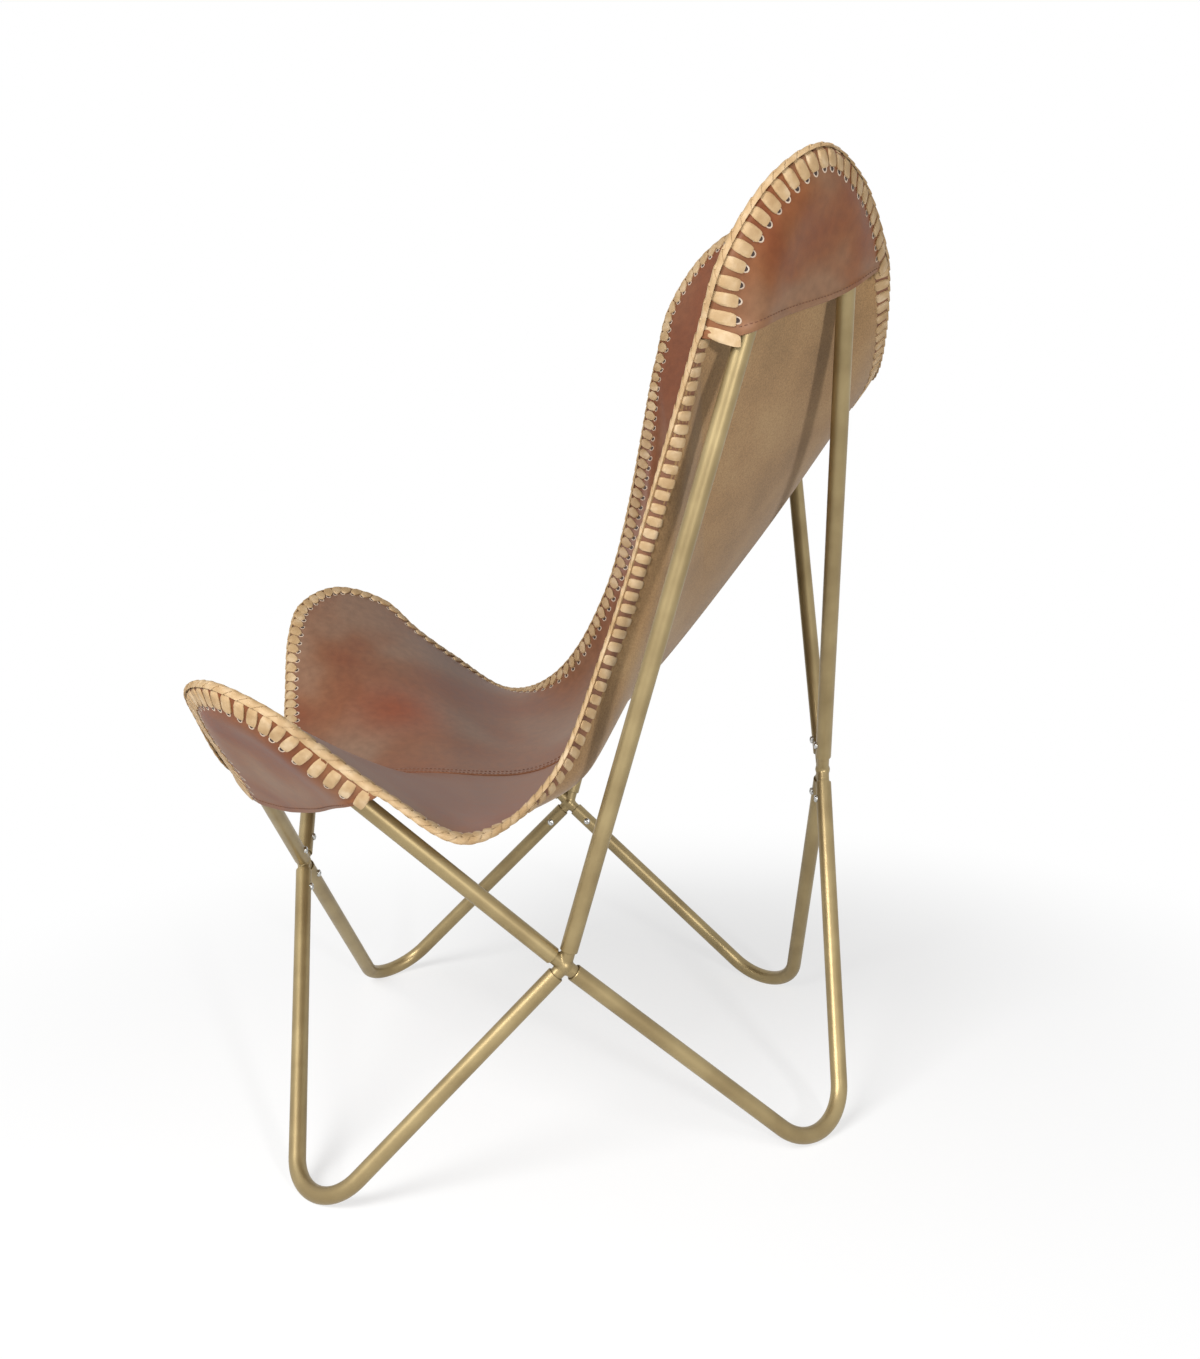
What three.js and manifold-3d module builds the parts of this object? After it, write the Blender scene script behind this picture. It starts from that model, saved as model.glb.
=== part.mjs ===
// Butterfly sling chair: a knock-down frame of bent steel tube on four welded cross connectors, and a leather
// sling of two halves whose four pockets hang on the frame's tips. The sling's edge is whipped with flat
// lace.
// Millimetres, +Z up. The chair faces -Y, so +X is the sitter's left. It stands on Z = 0.
import * as THREE from 'three';
import { mergeVertices } from 'three/addons/utils/BufferGeometryUtils.js';
import Module from 'manifold-3d';

const wasm = await Module();
wasm.setup();

// Frame tube, stubs and screws
const TUBE_DIAMETER = 16;
const TUBE_WALL = 1.3;
const STUB_PLAY = 0.35; // radial play of a stub in its tube
const STUB_LENGTH = 54; // from the crossing to the end of a stub
const TUBE_END_GAP = 11; // from the crossing to the end of a tube, at least
const TUBE_CLEARANCE = 0.5; // half of the room between the ends of neighbouring tubes
const WELD_DIAMETER = 15.5; // bead where the four stubs meet
const SCREW_DISTANCE = 32; // from the crossing, along the tube
const SCREW_DIAMETER = 4;
const SCREW_LENGTH = 9; // under the head
const SCREW_HEAD_DIAMETER = 7.6;
const SCREW_HEAD_HEIGHT = 2.2;
const SCREW_PLAY = 0.3; // round the shank, and under the head
const UNDER_FLOOR_WIDTH = 4000; // of the block that cuts the feet flat, wider than the chair
const UNDER_FLOOR_DEPTH = 100;
const FOOT_FLAT = 0.5; // depth of the flat worn on each foot where it stands

// Crossings: where the axes of four stubs meet
const SIDE_CROSSING_X = 287;
const SIDE_CROSSING_Y = -3;
const SIDE_CROSSING_Z = 212;
const FRONT_CROSSING_Y = -278;
const FRONT_CROSSING_Z = 233;
const REAR_CROSSING_Y = 267;
const REAR_CROSSING_Z = 310;

// Feet and loops: the point where the axes of a bent tube's two legs would meet, and the bend's radius
const FRONT_FOOT_X = 310;
const FRONT_FOOT_Y = -251;
const FRONT_FOOT_BEND = 50;
const REAR_FOOT_X = 210;
const REAR_FOOT_Y = 251;
const REAR_FOOT_BEND = 53;
const FRONT_LOOP_X = 358;
const FRONT_LOOP_Y = -290;
const FRONT_LOOP_Z = 501;
const FRONT_LOOP_BEND = 52;
const BACK_LOOP_X = 356;
const BACK_LOOP_Y = 255;
const BACK_LOOP_Z = 1041;
const BACK_LOOP_BEND = 60;

// Sling: leather, and the points that its edge passes through between the four tips
const LEATHER = 3;
const POCKET_LEATHER = 2.5;
const FRONT_EDGE_Y = -294; // centre line: middle of the front edge, seat, foot of the back, back, top edge
const FRONT_EDGE_Z = 325;
const SEAT_FRONT_Y = -150;
const SEAT_FRONT_Z = 322;
const SEAT_Y = -22;
const SEAT_Z = 322;
const BACK_FOOT_Y = 64;
const BACK_FOOT_Z = 389;
const BACK_Y = 196;
const BACK_Z = 542;
const TOP_EDGE_Y = 320;
const TOP_EDGE_Z = 708;
const FRONT_HEM_X = 153; // front pocket's mouth, where it meets the front edge
const FRONT_HEM_Y = -314;
const FRONT_HEM_Z = 374;
const SIDE_HEM_X = 358; // front pocket's mouth, where it meets the side edge
const SIDE_HEM_Y = -141;
const SIDE_HEM_Z = 387;
const SIDE_LOW_X = 352; // lowest point of the side edge
const SIDE_LOW_Y = -78;
const SIDE_LOW_Z = 345;
const SIDE_TURN_X = 280; // where the side edge turns up to the back
const SIDE_TURN_Y = -9;
const SIDE_TURN_Z = 376;
const WAIST_X = 242; // narrowest point of the sling
const WAIST_Y = 40;
const WAIST_Z = 480;
const WING_HEM_X = 330; // back pocket's mouth, where it meets the side edge
const WING_HEM_Y = 123;
const WING_HEM_Z = 737;
const TOP_HEM_X = 183; // back pocket's mouth, where it meets the top edge
const TOP_HEM_Y = 303;
const TOP_HEM_Z = 799;
// Edge round a tip: degrees round the loop's bend, leather beyond the tube, and lift to the sitter's side
const FRONT_TIP_EDGE = [[-84, 41, 3], [-48, 26, 3], [0, 22, 3], [44, 22, 5], [82, 25, 6]];
const BACK_TIP_EDGE = [[85, 34, 14], [42, 22, 7], [2, 22, 2], [-42, 19, 1], [-83, 46, 2]];
const SIDE_HOLLOW = 0.5; // how late the leather rises from the centre line to a side edge
const SIDE_CURVE = 0.4; // how late it comes forward
const SLING_OVER_TUBE = 3; // room between the sling and the tubes that it lies over
const TUBE_SHOULDER = 10.5; // half width of the strip of leather that lies over a tube
const SEAM_GAP = 0.4; // between leather edges, and between layers
const POCKET_SEAT = 1.3; // between a pocket and the tube that carries it, at the flats of both
// How far towards the tip a pocket's mouth runs from its edges to the tubes
const FRONT_MOUTH_SLIDE = [0, 20];
const BACK_MOUTH_SLIDE = [20, -18];

// Lace
const LACE_THICKNESS = 2;
const LACE_REACH = 11; // from the leather's edge to the punched holes
const LACE_GAP = 0.7;
const FLAT_EDGE = 14; // leather that lies flat along the edge, under the lace and a little beyond it

// Facets and smoothing
const SHARE_STEP = 0.005; // for finding where the leather crosses a tube
const UP_PASSES = 3; // for the directions across the sling's edge
const TUBE_SIDES = 14;
const BORE_SIDES = 12;
const BEND_STEPS = 8;
const EDGE_STEP = 34; // along the sling's edge, away from the pockets
const HEM_STEPS = 3; // from a pocket's mouth to its tip's shoulder
const TIP_STEPS = 2; // for each eighth of a turn round a tip
const RING_SHARES = [0, 0.12, 0.28, 0.45, 0.62]; // points from the seat towards the edge
const RIM_SHARE = 0.8; // one more, where there is no tube under the leather

const leather = new THREE.MeshStandardMaterial({ color: '#7a4f3a', roughness: 0.55, metalness: 0 });
const lace = new THREE.MeshStandardMaterial({ color: '#d8b98a', roughness: 0.75, metalness: 0 });
const brass = new THREE.MeshStandardMaterial({ color: '#8f7f5c', roughness: 0.4, metalness: 0.75 });
const steel = new THREE.MeshStandardMaterial({ color: '#c8c8c4', roughness: 0.25, metalness: 1 });

const chair = new THREE.Group();
const vec = (x, y, z) => new THREE.Vector3(x, y, z);
const toward = (from, to) => to.clone().sub(from).normalize();
const along = (start, direction, distance) => start.clone().addScaledVector(direction, distance);
const across = (v, direction) => v.clone().addScaledVector(direction, -v.dot(direction));

function addPiece(name, geometry, material) {
  const mesh = new THREE.Mesh(geometry, material);
  mesh.name = name;
  chair.add(mesh);
}

// Solids for booleans
function bareGeometry(geometry) {
  const bare = geometry.clone();
  for (const attribute of Object.keys(bare.attributes)) {
    if (attribute !== 'position') bare.deleteAttribute(attribute);
  }
  return mergeVertices(bare, 1e-4);
}

function toSolid(geometry) {
  const bare = bareGeometry(geometry);
  return new wasm.Manifold(new wasm.Mesh({
    numProp: 3,
    vertProperties: new Float32Array(bare.attributes.position.array),
    triVerts: new Uint32Array(bare.index.array),
  }));
}

function toGeometry(solid) {
  const mesh = solid.getMesh();
  const geometry = new THREE.BufferGeometry();
  geometry.setAttribute('position', new THREE.BufferAttribute(new Float32Array(mesh.vertProperties), 3));
  geometry.setIndex(new THREE.BufferAttribute(new Uint32Array(mesh.triVerts), 1));
  geometry.computeVertexNormals();
  return geometry;
}

function rodGeometry(start, end, diameter, sides) {
  const rod = new THREE.CylinderGeometry(diameter / 2, diameter / 2, start.distanceTo(end), sides);
  rod.applyQuaternion(new THREE.Quaternion().setFromUnitVectors(vec(0, 1, 0), toward(start, end)));
  const middle = start.clone().lerp(end, 0.5);
  return rod.translate(middle.x, middle.y, middle.z);
}

// A tube's axis: a straight leg, a round bend and a straight leg, with stations only where it needs them
class BentAxis extends THREE.Curve {
  constructor(start, corner, end, bend) {
    super();
    this.legs = [toward(corner, start), toward(corner, end)];
    const half = this.legs[0].angleTo(this.legs[1]) / 2;
    this.tip = this.legs[0].clone().add(this.legs[1]).normalize().negate();
    this.wide = this.legs[0].clone().sub(this.legs[1]).normalize();
    this.normal = this.tip.clone().cross(this.wide);
    this.center = along(corner, this.tip, -bend / Math.sin(half));
    this.bend = bend;
    const sweep = Math.PI / 2 - half;
    this.points = [start];
    this.tangents = [this.legs[0].clone().negate()];
    for (let step = 0; step <= BEND_STEPS; step += 1) {
      const angle = sweep * (1 - 2 * step / BEND_STEPS);
      this.points.push(this.around(angle, bend));
      const back = this.wide.clone().multiplyScalar(-Math.cos(angle));
      this.tangents.push(back.addScaledVector(this.tip, Math.sin(angle)));
    }
    this.points.push(end);
    this.tangents.push(this.legs[1].clone());
    this.steps = this.points.length - 1;
  }

  // Point at an angle from the tip round the bend's centre, turning to the first leg's side
  around(angle, radius) {
    return along(along(this.center, this.tip, radius * Math.cos(angle)), this.wide, radius * Math.sin(angle));
  }

  // Cut one end back to a distance from the crossing that it runs to
  trim(end, crossing, gap) {
    this.points[end === 0 ? 0 : this.steps] = along(crossing, this.legs[end], -gap);
  }

  // Nearest point of the axis, and the axis's direction there
  foot(point) {
    const best = { distance: Infinity };
    const line = new THREE.Line3();
    for (let i = 0; i < this.steps; i += 1) {
      line.set(this.points[i], this.points[i + 1]);
      const nearest = line.closestPointToPoint(point, true, vec(0, 0, 0));
      const distance = nearest.distanceTo(point);
      if (distance < best.distance) {
        const tangent = toward(this.points[i], this.points[i + 1]);
        Object.assign(best, { distance, point: nearest, tangent });
      }
    }
    return best;
  }

  nearest(point) {
    return this.foot(point).point;
  }

  getPointAt(u) {
    return this.points[Math.round(u * this.steps)].clone();
  }

  getTangentAt(u) {
    return this.tangents[Math.round(u * this.steps)].clone();
  }
}

function tubeGeometry(axis) {
  const ring = new THREE.Shape().absarc(0, 0, TUBE_DIAMETER / 2, 0, 2 * Math.PI);
  const ringPoints = ring.getSpacedPoints(TUBE_SIDES).slice(0, TUBE_SIDES);
  const boreRadius = TUBE_DIAMETER / 2 - TUBE_WALL;
  const bore = new THREE.Path().absarc(0, 0, boreRadius, 0, 2 * Math.PI, true);
  const section = new THREE.Shape(ringPoints);
  section.holes.push(new THREE.Path(bore.getSpacedPoints(BORE_SIDES).slice(0, BORE_SIDES)));
  return new THREE.ExtrudeGeometry(section, { steps: axis.steps, extrudePath: axis, bevelEnabled: false });
}

// Frame layout
const sideCrossing = (side) => vec(side * SIDE_CROSSING_X, SIDE_CROSSING_Y, SIDE_CROSSING_Z);
const frontCrossing = vec(0, FRONT_CROSSING_Y, FRONT_CROSSING_Z);
const rearCrossing = vec(0, REAR_CROSSING_Y, REAR_CROSSING_Z);

function bentAxis(side, corner, endCrossing, bend) {
  return new BentAxis(sideCrossing(side), corner, endCrossing, bend);
}

// A foot's corner lies as far below the floor as its bend needs to stand on it
function footAxis(side, x, y, endCrossing, bend) {
  const corner = vec(side * x, y, 0);
  const lowest = TUBE_DIAMETER / 2 - FOOT_FLAT;
  let axis = bentAxis(side, corner, endCrossing, bend);
  for (let pass = 0; pass < 12; pass += 1) {
    const dip = Math.hypot(axis.tip.z, axis.wide.z) * axis.bend;
    corner.z += lowest - (axis.center.z - dip);
    axis = bentAxis(side, corner, endCrossing, bend);
  }
  return axis;
}

const tubes = [];
const crossings = [
  { name: 'front_cross', point: frontCrossing, inward: vec(0, 1, 0), stubs: [] },
  { name: 'rear_cross', point: rearCrossing, inward: vec(0, -1, 0), stubs: [] },
];
const loops = {};
for (const [sideName, side] of [['left', 1], ['right', -1]]) {
  const inward = vec(-side, 0, 0);
  const sideCross = { name: `${sideName}_cross`, point: sideCrossing(side), inward, stubs: [] };
  crossings.push(sideCross);
  const frontLoopCorner = vec(side * FRONT_LOOP_X, FRONT_LOOP_Y, FRONT_LOOP_Z);
  const backLoopCorner = vec(side * BACK_LOOP_X, BACK_LOOP_Y, BACK_LOOP_Z);
  loops[side] = {
    front: bentAxis(side, frontLoopCorner, frontCrossing, FRONT_LOOP_BEND),
    back: bentAxis(side, backLoopCorner, rearCrossing, BACK_LOOP_BEND),
  };
  const [frontCross, rearCross] = crossings;
  const frontFoot = footAxis(side, FRONT_FOOT_X, FRONT_FOOT_Y, frontCrossing, FRONT_FOOT_BEND);
  const rearFoot = footAxis(side, REAR_FOOT_X, REAR_FOOT_Y, rearCrossing, REAR_FOOT_BEND);
  tubes.push({ name: `front_foot_${sideName}`, axis: frontFoot, ends: [sideCross, frontCross], foot: true });
  tubes.push({ name: `rear_foot_${sideName}`, axis: rearFoot, ends: [sideCross, rearCross], foot: true });
  tubes.push({ name: `front_loop_${sideName}`, axis: loops[side].front, ends: [sideCross, frontCross] });
  tubes.push({ name: `back_loop_${sideName}`, axis: loops[side].back, ends: [sideCross, rearCross] });
}
for (const tube of tubes) {
  tube.ends.forEach((cross, end) => {
    const direction = tube.axis.legs[end].clone().negate();
    cross.stubs.push({ tube, end, direction });
  });
}

// Each tube stops short of the crossing, clear of its neighbours
for (const cross of crossings) {
  for (const stub of cross.stubs) {
    const others = cross.stubs.filter((other) => other !== stub);
    const angle = Math.min(...others.map((other) => other.direction.angleTo(stub.direction)));
    const clear = (TUBE_DIAMETER / 2 + TUBE_CLEARANCE) / Math.tan(angle / 2);
    stub.tube.axis.trim(stub.end, cross.point, Math.max(TUBE_END_GAP, clear));
  }
}

// Screws go in square to each tube, from the inside of the chair
function screwSeat(cross, stub) {
  const direction = stub.direction;
  const outward = across(cross.inward, direction).normalize();
  return { foot: along(cross.point, direction, SCREW_DISTANCE), outward };
}

function screwHole(seat, depth) {
  const mouth = along(seat.foot, seat.outward, TUBE_DIAMETER);
  const bottom = along(seat.foot, seat.outward, -depth);
  return toSolid(rodGeometry(mouth, bottom, SCREW_DIAMETER + 2 * SCREW_PLAY, 8));
}

const screwTipDepth = SCREW_LENGTH - TUBE_DIAMETER / 2 - SCREW_PLAY;
const stubDiameter = TUBE_DIAMETER - 2 * TUBE_WALL - 2 * STUB_PLAY;

function screwGeometry() {
  const headRadius = SCREW_HEAD_DIAMETER / 2;
  const rim = SCREW_HEAD_HEIGHT * 0.35;
  const profile = [
    [0, -SCREW_LENGTH], [SCREW_DIAMETER / 2, -SCREW_LENGTH], [SCREW_DIAMETER / 2, 0], [headRadius, 0],
    [headRadius, rim], [headRadius * 0.72, SCREW_HEAD_HEIGHT * 0.85], [0, SCREW_HEAD_HEIGHT],
  ];
  return new THREE.LatheGeometry(profile.map(([r, y]) => new THREE.Vector2(r, y)), 10);
}

for (const cross of crossings) {
  let body = toSolid(new THREE.SphereGeometry(WELD_DIAMETER / 2, 12, 8).translate(...cross.point.toArray()));
  cross.stubs.forEach((stub, index) => {
    const end = along(cross.point, stub.direction, STUB_LENGTH);
    body = body.add(toSolid(rodGeometry(cross.point, end, stubDiameter, BORE_SIDES)));
    const seat = screwSeat(cross, stub);
    stub.seat = seat;
    const screw = new THREE.Mesh(bareGeometry(screwGeometry()), steel);
    screw.name = `${cross.name}_screw_${index + 1}`;
    screw.quaternion.setFromUnitVectors(vec(0, 1, 0), seat.outward);
    screw.position.copy(along(seat.foot, seat.outward, TUBE_DIAMETER / 2 + SCREW_PLAY));
    chair.add(screw);
  });
  for (const stub of cross.stubs) body = body.subtract(screwHole(stub.seat, screwTipDepth + SCREW_PLAY));
  addPiece(cross.name, toGeometry(body), brass);
}

// All that lies under the floor
const floorCut = toSolid(
  new THREE.BoxGeometry(UNDER_FLOOR_WIDTH, UNDER_FLOOR_WIDTH, UNDER_FLOOR_DEPTH)
    .translate(0, 0, -UNDER_FLOOR_DEPTH / 2),
);
for (const tube of tubes) {
  let body = toSolid(tubeGeometry(tube.axis));
  for (const cross of tube.ends) {
    const stub = cross.stubs.find((candidate) => candidate.tube === tube);
    body = body.subtract(screwHole(stub.seat, 0));
  }
  if (tube.foot) body = body.subtract(floorCut);
  addPiece(tube.name, toGeometry(body), brass);
}

// Sling edge: one smooth line from the middle of the front edge round the left tips to the top's middle
const leftLoops = loops[1];
const seatPoint = vec(0, SEAT_Y, SEAT_Z);

function tipPoints(axis, outline) {
  return outline.map(([degrees, margin, lift]) => {
    const onPlane = axis.around(THREE.MathUtils.degToRad(degrees), axis.bend + TUBE_DIAMETER / 2 + margin);
    return along(onPlane, frontOf(axis), lift);
  });
}

// The side of a loop's plane that faces the sitter
function frontOf(axis) {
  return axis.normal.clone().multiplyScalar(Math.sign(axis.normal.dot(toward(axis.center, seatPoint))));
}

const edgePoints = {
  frontMiddle: vec(0, FRONT_EDGE_Y, FRONT_EDGE_Z),
  frontHem: vec(FRONT_HEM_X, FRONT_HEM_Y, FRONT_HEM_Z),
  frontTip: tipPoints(leftLoops.front, FRONT_TIP_EDGE),
  sideHem: vec(SIDE_HEM_X, SIDE_HEM_Y, SIDE_HEM_Z),
  sideLow: vec(SIDE_LOW_X, SIDE_LOW_Y, SIDE_LOW_Z),
  sideTurn: vec(SIDE_TURN_X, SIDE_TURN_Y, SIDE_TURN_Z),
  waist: vec(WAIST_X, WAIST_Y, WAIST_Z),
  wingHem: vec(WING_HEM_X, WING_HEM_Y, WING_HEM_Z),
  backTip: tipPoints(leftLoops.back, BACK_TIP_EDGE),
  topHem: vec(TOP_HEM_X, TOP_HEM_Y, TOP_HEM_Z),
  topMiddle: vec(0, TOP_EDGE_Y, TOP_EDGE_Z),
};
const halfEdge = Object.values(edgePoints).flat();
const mirrored = (point) => vec(-point.x, point.y, point.z);
const rightEdge = halfEdge.slice(1, -1).reverse().map(mirrored);
const edgeCurve = new THREE.CatmullRomCurve3([...halfEdge, ...rightEdge], true, 'centripetal');
const spanCount = halfEdge.length + rightEdge.length;

// Numbers of those points along the edge; a tip's is that of its middle point
const numberOf = (point) => halfEdge.indexOf(point);
const middleOf = (points) => points[Math.floor(points.length / 2)];
const FRONT_HEM = numberOf(edgePoints.frontHem);
const FRONT_TIP = numberOf(middleOf(edgePoints.frontTip));
const SIDE_HEM = numberOf(edgePoints.sideHem);
const SIDE_LOW = numberOf(edgePoints.sideLow);
const SIDE_TURN = numberOf(edgePoints.sideTurn);
const WAIST = numberOf(edgePoints.waist);
const WING_HEM = numberOf(edgePoints.wingHem);
const BACK_TIP = numberOf(middleOf(edgePoints.backTip));
const TOP_HEM = numberOf(edgePoints.topHem);
const TOP_MIDDLE = numberOf(edgePoints.topMiddle);

function spanSteps(span) {
  if ([FRONT_HEM, SIDE_HEM - 1, WING_HEM, TOP_HEM - 1].includes(span)) return HEM_STEPS;
  if ((span > FRONT_HEM && span < SIDE_HEM) || (span > WING_HEM && span < TOP_HEM)) return TIP_STEPS;
  return Math.max(2, Math.round(halfEdge[span].distanceTo(halfEdge[span + 1]) / EDGE_STEP));
}

// Samples of the left half's edge, and the sample that falls on each of the points above
const edge = [];
const sampleAt = {};
for (let span = 0; span < TOP_MIDDLE; span += 1) {
  const steps = spanSteps(span);
  sampleAt[span] = edge.length;
  for (let step = 0; step < steps; step += 1) {
    const t = (span + step / steps) / spanCount;
    edge.push({ point: edgeCurve.getPoint(t), tangent: edgeCurve.getTangent(t) });
  }
}
sampleAt[TOP_MIDDLE] = edge.length;
edge.push({ point: halfEdge[TOP_MIDDLE].clone(), tangent: vec(-1, 0, 0) });
edge[0].tangent = vec(1, 0, 0);

// Centre line of the sling, and the points of it that the leather runs out from to each stretch of the edge
const centreLine = new THREE.CatmullRomCurve3([
  vec(0, FRONT_EDGE_Y, FRONT_EDGE_Z),
  vec(0, SEAT_FRONT_Y, SEAT_FRONT_Z),
  vec(0, SEAT_Y, SEAT_Z),
  vec(0, BACK_FOOT_Y, BACK_FOOT_Z),
  vec(0, BACK_Y, BACK_Z),
  vec(0, TOP_EDGE_Y, TOP_EDGE_Z),
]);
const CENTRE_SPANS = 5;
const ROOTS = [
  [0, 1], [FRONT_TIP, 1], [SIDE_HEM, 1.4], [SIDE_LOW, 1.75], [SIDE_TURN, 2.2], [WAIST, 2.85],
  [WING_HEM, 3.75], [BACK_TIP, 4], [TOP_MIDDLE, 4],
];

function rootOf(i) {
  const last = ROOTS.findIndex(([point]) => sampleAt[point] >= i);
  const [[fromPoint, from], [toPoint, to]] = [ROOTS[Math.max(0, last - 1)], ROOTS[last]];
  const share = (i - sampleAt[fromPoint]) / Math.max(1, sampleAt[toPoint] - sampleAt[fromPoint]);
  return centreLine.getPoint(THREE.MathUtils.lerp(from, to, share) / CENTRE_SPANS);
}

edge.forEach((sample, i) => {
  sample.root = rootOf(i);
});

// The sling hangs hollow between its centre line and its side edges, and straight along the centre line
function hang(sample, share) {
  const run = sample.point.clone().sub(sample.root);
  const sideways = run.x / Math.hypot(run.x, run.y);
  return vec(
    run.x * share,
    sample.root.y + run.y * share ** (1 + SIDE_CURVE * sideways),
    sample.root.z + run.z * share ** (1 + SIDE_HOLLOW * sideways),
  );
}

function loopOf(i) {
  if (i >= sampleAt[FRONT_HEM] && i <= sampleAt[SIDE_HEM]) return leftLoops.front;
  if (i >= sampleAt[WING_HEM] && i <= sampleAt[TOP_HEM]) return leftLoops.back;
  return null;
}

// 0 at the mouth of a pocket and beyond it, 1 at its tip
function tipShare(i) {
  for (const [from, to] of [[FRONT_HEM, SIDE_HEM], [WING_HEM, TOP_HEM]]) {
    const share = (i - sampleAt[from]) / (sampleAt[to] - sampleAt[from]);
    if (share > 0 && share < 1) return Math.sin(Math.PI * share);
  }
  return 0;
}

// Lifts leather over a tube instead of letting it pass through
function overTube(axis, point) {
  const offset = point.clone().sub(axis.nearest(point));
  const height = offset.dot(frontOf(axis));
  const needed = TUBE_DIAMETER / 2 + LEATHER / 2 + SLING_OVER_TUBE;
  const beside = across(offset, frontOf(axis)).length() > TUBE_SHOULDER * 1.2;
  return beside || height > needed ? point : along(point, frontOf(axis), needed - height);
}

// Two points near the end of a hanging line: on either side of the tube that it lies on, or short of the edge
function rimPoints(sample) {
  const free = [hang(sample, RIM_SHARE), along(sample.point, sample.out, -2 * FLAT_EDGE)];
  const axis = sample.loop;
  if (!axis) return free;
  const offset = (share) => hang(sample, share).sub(axis.nearest(hang(sample, share)));
  const reach = (share) => across(offset(share), frontOf(axis)).length();
  let crest = 0.5;
  for (let share = crest; share < 1; share += SHARE_STEP) {
    if (reach(share) < reach(crest)) crest = share;
  }
  const clear = offset(crest).dot(frontOf(axis)) > 1.2 * TUBE_DIAMETER;
  if (clear) return free.map((point) => overTube(axis, point));
  const flatShare = 1 - 1.35 * FLAT_EDGE / sample.point.distanceTo(sample.root);
  return [-SHARE_STEP, SHARE_STEP].map((step) => {
    let share = crest + step;
    while (reach(share) < TUBE_SHOULDER && share < flatShare) share += step;
    return overTube(axis, hang(sample, share));
  });
}

// Each edge sample gets the leather's own directions there: out across the edge, and up on the sitter's side
edge.forEach((sample, i) => {
  const axis = loopOf(i);
  const inner = hang(sample, 0.9);
  const out = across(sample.point.clone().sub(inner), sample.tangent).normalize();
  const up = out.cross(sample.tangent);
  sample.loop = axis;
  sample.up = up.lerp(axis ? frontOf(axis) : up, tipShare(i));
});
for (let pass = 0; pass < UP_PASSES; pass += 1) {
  const smoothUps = edge.map((sample, i) => {
    const before = edge[Math.max(0, i - 1)].up;
    const after = edge[Math.min(edge.length - 1, i + 1)].up;
    return sample.up.clone().multiplyScalar(2).add(before).add(after);
  });
  edge.forEach((sample, i) => {
    sample.up = across(smoothUps[i], sample.tangent).normalize();
    sample.out = sample.tangent.clone().cross(sample.up);
  });
}

// A sheet of leather: faces between grids of points, and a wall round their boundary
class Sheet {
  constructor() {
    this.positions = [];
  }

  quad(a, b, c, d) {
    this.positions.push(...[a, b, c, a, c, d].flatMap((point) => point.toArray()));
  }

  faces(upper, lower) {
    for (let row = 0; row + 1 < upper.length; row += 1) {
      for (let column = 0; column + 1 < upper[row].length; column += 1) {
        const next = column + 1;
        this.quad(upper[row][column], upper[row][next], upper[row + 1][next], upper[row + 1][column]);
        this.quad(lower[row][column], lower[row + 1][column], lower[row + 1][next], lower[row][next]);
      }
    }
  }

  wall(upper, lower) {
    upper.forEach((point, i) => {
      const next = (i + 1) % upper.length;
      this.quad(point, lower[i], lower[next], upper[next]);
    });
  }
}

// Triangles with their shared points joined and their empty ones left out
function weldedGeometry(positions) {
  const loose = new THREE.BufferGeometry();
  loose.setAttribute('position', new THREE.Float32BufferAttribute(positions, 3));
  const welded = mergeVertices(loose, 1e-3);
  const kept = [];
  const index = welded.index.array;
  for (let i = 0; i < index.length; i += 3) {
    const [a, b, c] = [index[i], index[i + 1], index[i + 2]];
    if (a !== b && b !== c && c !== a) kept.push(a, b, c);
  }
  welded.setIndex(enclosedVolume(welded, kept) < 0 ? turnedOver(kept) : kept);
  welded.computeVertexNormals();
  return welded;
}

function enclosedVolume(geometry, index) {
  const corner = (i) => vec(0, 0, 0).fromBufferAttribute(geometry.attributes.position, index[i]);
  let volume = 0;
  for (let i = 0; i < index.length; i += 3) {
    volume += corner(i).dot(corner(i + 1).cross(corner(i + 2))) / 6;
  }
  return volume;
}

function turnedOver(index) {
  const turned = [...index];
  for (let i = 0; i < turned.length; i += 3) [turned[i], turned[i + 1]] = [turned[i + 1], turned[i]];
  return turned;
}

// The right half of a sheet is the left half turned over in X, with its faces turned back out
function mirroredGeometry(geometry) {
  const copy = geometry.clone().scale(-1, 1, 1);
  copy.setIndex(turnedOver(copy.index.array));
  copy.computeVertexNormals();
  return copy;
}

function addPair(name, geometry, material) {
  addPiece(`${name}_left`, geometry, material);
  addPiece(`${name}_right`, mirroredGeometry(geometry), material);
}

function gridNormal(grid, row, column) {
  const [below, above] = [grid[Math.max(row - 1, 0)], grid[Math.min(row + 1, grid.length - 1)]];
  const rowStep = above[column].clone().sub(below[column]);
  const columnStep = grid[row][Math.min(column + 1, grid[row].length - 1)].clone()
    .sub(grid[row][Math.max(column - 1, 0)]);
  return columnStep.cross(rowStep).normalize();
}

// Sling halves
const slingMiddle = edge.map((sample) => {
  const inset = along(sample.point, sample.out, -FLAT_EDGE);
  const hung = RING_SHARES.map((share) => hang(sample, share));
  return [...hung, ...rimPoints(sample), inset, sample.point.clone()];
});
const lastRow = slingMiddle.length - 1;

// Square to the centre line, on the sitter's side
function centreNormal(root) {
  const near = centreLine.getPoints(100).reduce((best, point, i, points) => {
    const distance = point.distanceTo(root);
    return distance < best.distance ? { distance, i, points } : best;
  }, { distance: Infinity });
  const before = near.points[Math.max(0, near.i - 1)];
  const after = near.points[Math.min(near.points.length - 1, near.i + 1)];
  return vec(1, 0, 0).cross(toward(before, after));
}

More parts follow.
